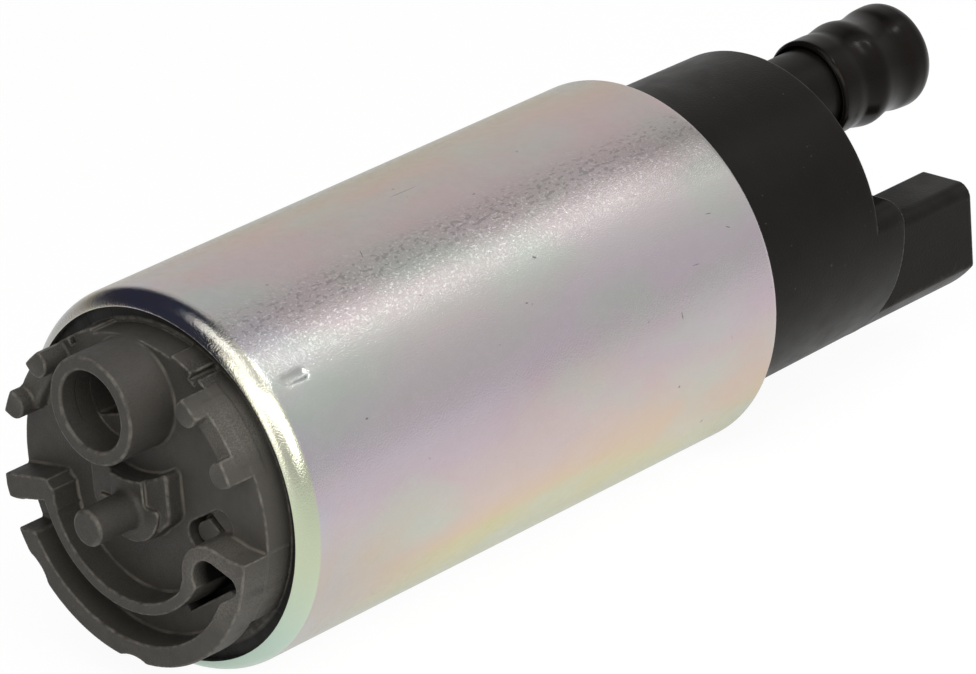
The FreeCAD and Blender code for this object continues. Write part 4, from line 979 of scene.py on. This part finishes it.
def zinc_shell():
    """Zinc plate under a thin pearly film: interference tints with greener patches, bluer at the front and
    darker on its lower half there, cream to green on the rolled lip. A band of painted glints along the top
    fades towards the rear, where painted shade also dims that band, with painted dark specks beside it, and
    a few dark specks and scratches."""
    material, tree, shader, where = surface("zinc_shell", Metallic=1.0)
    parts = add(tree, "ShaderNodeSeparateXYZ", {0: where}).outputs
    angle = calc(tree, "ARCTAN2", parts[2], parts[1])
    turn = calc(tree, "FRACT", times(tree, angle, 1 / (2 * math.pi)))
    degrees = calc(tree, "DEGREES", angle)
    drawn = stretched(tree, where, 0.5)

    def along(start, end, low, high):
        return between(tree, parts[0], LIP + start * MM, LIP + end * MM, low, high)

    base = film_colour(tree, where, turn)
    cool = times(tree, along(14, 2, 0.0, 0.8), placed(tree, GRAIN, where, 0.006, Detail=2.0))
    base = mix(tree, cool, base, (0.58, 0.60, 0.66))
    stain = placed(tree, GRAIN, drawn, 0.0085, Detail=3.0, Low=-0.6, High=0.75)
    base = mix(tree, stain, base, (0.565, 0.64, 0.565))
    cloud = placed(tree, GRAIN, where, 0.0045, Detail=5.0, Low=0.0, High=0.2)
    base = mix(tree, cloud, base, (0.68, 0.65, 0.66))
    # Darker on the lower half of the shell towards the front.
    darker_low_front = times(tree, between(tree, turn, 0.50, 0.57), along(22, 5, 0.0, 0.55))
    base = mix(tree, darker_low_front, base, (0.47, 0.43, 0.42))
    lip = along(2.1, 1.85, 0.0, 0.8)
    for start, end, colour in ((0.28, 0.34, (0.70, 0.69, 0.56)), (0.41, 0.48, (0.60, 0.69, 0.48)),
                               (0.53, 0.62, (0.52, 0.68, 0.60))):
        base = mix(tree, times(tree, lip, between(tree, turn, start, end)), base, colour)
    # Painted shade: dims the bright band along the top near the rear.
    painted_rear_shade = times(tree, along(51, 61, 0.0, 0.45), between(tree, off(tree, degrees, 126.0), 11.0, 5.0))
    base = mix(tree, painted_rear_shade, base, (0.28, 0.27, 0.26))
    # Painted glints: bright specks in a band along the top that fade towards the rear.
    painted_light = times(tree, along(38, 62, 1.0, 0.3),
                   between(tree, off(tree, degrees, 123.0), 15.0, 3.0, 0.03, 0.5))
    glint = placed(tree, SPECKS, where, 0.00030, Above=0.60)
    base = mix(tree, times(tree, glint, painted_light), base, (1.0, 0.98, 0.98))
    # Painted shade: dark specks in a narrow band beside the painted glints.
    painted_dark_speck_band = between(tree, off(tree, degrees, 118.0), 8.0, 2.0, 0.0, 0.42)
    dark_speck = placed(tree, SPECKS, drawn, 0.00036, Above=0.58)
    base = mix(tree, times(tree, dark_speck, painted_dark_speck_band), base, (0.28, 0.27, 0.26))
    fleck = placed(tree, SPECKS, where, 0.0012, Above=0.79)
    marks = calc(tree, "MAXIMUM", fleck, scratches(tree, parts[0], turn))
    broken = placed(tree, GRAIN, where, 0.0003, Low=0.35, High=1.0)
    base = mix(tree, times(tree, marks, broken), base, (0.22, 0.20, 0.20))
    rough = placed(tree, GRAIN, where, 0.0009, Detail=4.0, Low=0.20, High=0.27)
    rough = times(tree, rough, along(1.4, 3.0, 0.55, 1.0))
    grain = placed(tree, GRAIN, where, 0.00016, Detail=2.0)
    set_surface(tree, shader, base, rough, grain, 0.000010)
    return material


def plain_finish(name, dark, light, size, metallic, rough_low, rough_high, bump):
    """A finish for pieces inside: two tones of colour in cloudy grain, uneven roughness and fine bump."""
    material, tree, shader, where = surface(name, Metallic=metallic)
    cloud = placed(tree, GRAIN, where, size * 8, Detail=4.0)
    rough = placed(tree, GRAIN, where, size * 3, Low=rough_low, High=rough_high)
    fine = placed(tree, GRAIN, where, size)
    set_surface(tree, shader, mix(tree, cloud, dark, light), rough, fine, bump)
    return material


# Finishes inside: dark and light tone, grain size, metal share, roughness from and to, and relief
INNER = {
    "impeller_resin": ((0.09, 0.06, 0.035), (0.14, 0.095, 0.055), 0.0002, 0.0, 0.50, 0.65, 0.00001),
    "casing_alloy": ((0.50, 0.50, 0.51), (0.66, 0.66, 0.67), 0.0003, 1.0, 0.42, 0.58, 0.00002),
    "ground_steel": ((0.50, 0.50, 0.51), (0.62, 0.62, 0.63), 0.0002, 1.0, 0.12, 0.24, 0.000004),
    "core_steel": ((0.16, 0.16, 0.17), (0.28, 0.28, 0.29), 0.0003, 0.8, 0.40, 0.60, 0.00002),
    "winding_wire": ((0.42, 0.15, 0.06), (0.62, 0.27, 0.12), 0.0004, 0.9, 0.25, 0.40, 0.00005),
    "magnet_ferrite": ((0.045, 0.045, 0.05), (0.075, 0.075, 0.08), 0.0003, 0.0, 0.55, 0.75, 0.00002),
    "spring_steel": ((0.42, 0.42, 0.44), (0.56, 0.56, 0.58), 0.0002, 1.0, 0.22, 0.34, 0.000006),
    "carbon": ((0.028, 0.028, 0.031), (0.045, 0.045, 0.05), 0.0002, 0.0, 0.60, 0.80, 0.00001),
    "sintered_bronze": ((0.36, 0.23, 0.11), (0.52, 0.37, 0.20), 0.0002, 1.0, 0.40, 0.60, 0.00003),
    "contact_metal": ((0.58, 0.45, 0.24), (0.72, 0.60, 0.36), 0.0003, 1.0, 0.24, 0.38, 0.000008),
    "inner_plastic": ((0.40, 0.38, 0.33), (0.52, 0.50, 0.44), 0.0003, 0.0, 0.38, 0.50, 0.00001),
    "seal_rubber": ((0.015, 0.015, 0.015), (0.028, 0.028, 0.027), 0.0003, 0.0, 0.60, 0.78, 0.00001),
}


# Room, light and camera

def stand(piece, place, right, up, back):
    """A lamp or camera set at a place in millimetres, facing away from its back."""
    turn = Matrix((right, up, back)).transposed().to_4x4()
    piece.matrix_world = Matrix.Translation(Vector(place) * MM) @ turn


def area(name, place, aim, along, width, height, brightness, colour=(1.0, 1.0, 1.0)):
    """Soft box that points at a place on the pump, its width along a given direction; places are in
    millimetres from the shell's middle. Its power is pi times its area times its face's brightness."""
    lamp = bpy.data.lights.new(name, "AREA")
    lamp.shape = "RECTANGLE"
    lamp.size, lamp.size_y = width * MM, height * MM
    lamp.energy = math.pi * lamp.size * lamp.size_y * brightness
    lamp.color = colour
    back = (Vector(place) - Vector(aim)).normalized()
    up = back.cross(Vector(along)).normalized()
    stand(shown(name, lamp), place, up.cross(back), up, back)


def make_floor():
    """Wide pale floor under the shell that dims away from it, shown white to the camera with a soft
    shadow."""
    half = FLOOR_HALF * MM
    corners = [(x * half, y * half, -SHELL_R * MM) for x, y in ((-1, -1), (1, -1), (1, 1), (-1, 1))]
    mesh = bpy.data.meshes.new("floor")
    mesh.from_pydata(corners, [], [(0, 1, 2, 3)])
    material = bpy.data.materials.new("floor")
    material.use_nodes = True
    tree = material.node_tree
    tree.nodes.clear()
    path = add(tree, "ShaderNodeLightPath").outputs
    where = add(tree, "ShaderNodeTexCoord").outputs["Object"]
    aside = off(tree, add(tree, "ShaderNodeSeparateXYZ", {0: where}).outputs[1], 0.0)
    tone = times(tree, between(tree, aside, 0.02, 0.09, 1.0, 0.84),
                 between(tree, aside, 0.09, 0.7, 1.0, 0.8))
    colour = mix(tree, tone, (0.0, 0.0, 0.0), (0.86, 0.86, 0.86))
    matte = add(tree, "ShaderNodeBsdfDiffuse", {"Color": colour}).outputs[0]
    strength = times(tree, calc(tree, "MAXIMUM", tone, path["Is Camera Ray"]), 1.06)
    glow = add(tree, "ShaderNodeEmission", {"Color": (1.0, 1.0, 1.0, 1.0), "Strength": strength}).outputs[0]
    glossy = times(tree, path["Is Glossy Ray"], 0.5)
    share = calc(tree, "MULTIPLY_ADD", path["Is Camera Ray"], 0.88, glossy)
    both = add(tree, "ShaderNodeMixShader", {0: share, 1: matte, 2: glow}).outputs[0]
    add(tree, "ShaderNodeOutputMaterial", {"Surface": both})
    mesh.materials.append(material)
    shown("floor", mesh)


def make_world():
    """Pale tent seen round the pump's axis: a darker seam that runs over the pump along x with a soft glow
    beside it, and a dim bluish side up to the left of the front end; white where the camera looks past
    the floor."""
    world = bpy.data.worlds.new("surround")
    world.use_nodes = True
    bpy.context.scene.world = world
    tree = world.node_tree
    tree.nodes.clear()
    path = add(tree, "ShaderNodeLightPath").outputs
    way = add(tree, "ShaderNodeTexCoord").outputs["Generated"]
    parts = add(tree, "ShaderNodeSeparateXYZ", {0: way}).outputs
    angle = calc(tree, "DEGREES", calc(tree, "ARCTAN2", parts[2], parts[1]))

    def strip(middle, inner, outer, share):
        return between(tree, off(tree, angle, middle), outer, inner, 0.0, share)

    shade = times(tree, strip(SHADE_ANGLE, 34.0, 48.0, 1.0), between(tree, parts[0], 0.52, 0.36))
    tone = mix(tree, strip(180.0, 20.0, 45.0, 1.0), (0.635, 0.628, 0.622), (0.58, 0.573, 0.568))
    tone = mix(tree, strip(GLOW_ANGLE, 6.0, 30.0, 1.0), tone, (0.76, 0.752, 0.748))
    tone = mix(tree, strip(SEAM_ANGLE, 4.0, 15.0, 0.65), tone, (0.30, 0.30, 0.31))
    tone = mix(tree, shade, tone, (0.03, 0.033, 0.055))
    soft = add(tree, "ShaderNodeBackground", {"Color": tone}).outputs[0]
    white = add(tree, "ShaderNodeBackground", {"Color": (1.0, 1.0, 1.0, 1.0)}).outputs[0]
    both = add(tree, "ShaderNodeMixShader", {0: path["Is Camera Ray"], 1: soft, 2: white}).outputs[0]
    add(tree, "ShaderNodeOutputWorld", {"Surface": both})


def make_camera():
    """Camera at the photographed angle: in front, to the right and above, with a long lens."""
    data = bpy.data.cameras.new("camera")
    data.lens = 236.616
    data.sensor_width = 36.0
    data.clip_start = 0.05
    data.clip_end = 20.0
    camera = shown("camera", data)
    right = Vector((0.68887, -0.72155, -0.06948))
    up = Vector((0.32757, 0.22436, 0.91780))
    stand(camera, (-393.089, -409.575, 243.748), right, up, right.cross(up))
    bpy.context.scene.camera = camera


def main():
    bpy.context.scene.view_settings.view_transform = "Standard"
    make_camera()
    make_world()
    make_floor()
    area("key", (432, -198, 508), (0, 0, 0), (1, 0, 0), 80, 96, 1.4)
    area("front", (-560, -130, 235), (-30, 0, 0), (0.43, 0, 0.9), 540, 260, 1.35, (1.0, 0.97, 0.86))
    area("corner", (-390, -345, 375), (-30, 0, 0), (0.7, -0.7, 0.0), 250, 300, 1.7, (1.0, 0.98, 0.9))
    area("side", (-90, -540, 320), (0, 0, 0), (1, 0, 0), 420, 420, 2.2, (1.0, 0.98, 0.94))
    area("top", (-200, -60, 560), (0, 0, 0), (0, 1, 0), 420, 300, 1.0)
    area("glint", (494, -572, 1094), (65, 0, 9), (1, 0, 0), 100, 100, 30.0)
    make_shell(zinc_shell())
    make_inlet_cover(grey_moulding())
    make_outlet_cover(black_moulding())
    make_cap(soft_black())
    finishes = {slot: plain_finish(slot, *values) for slot, values in INNER.items()}
    for row in frame["record"]["subparts"]:
        node = frame["nodes"][row["node"]]
        if row["material_slot"] in finishes:
            node.data.materials.clear()
            node.data.materials.append(finishes[row["material_slot"]])


main()
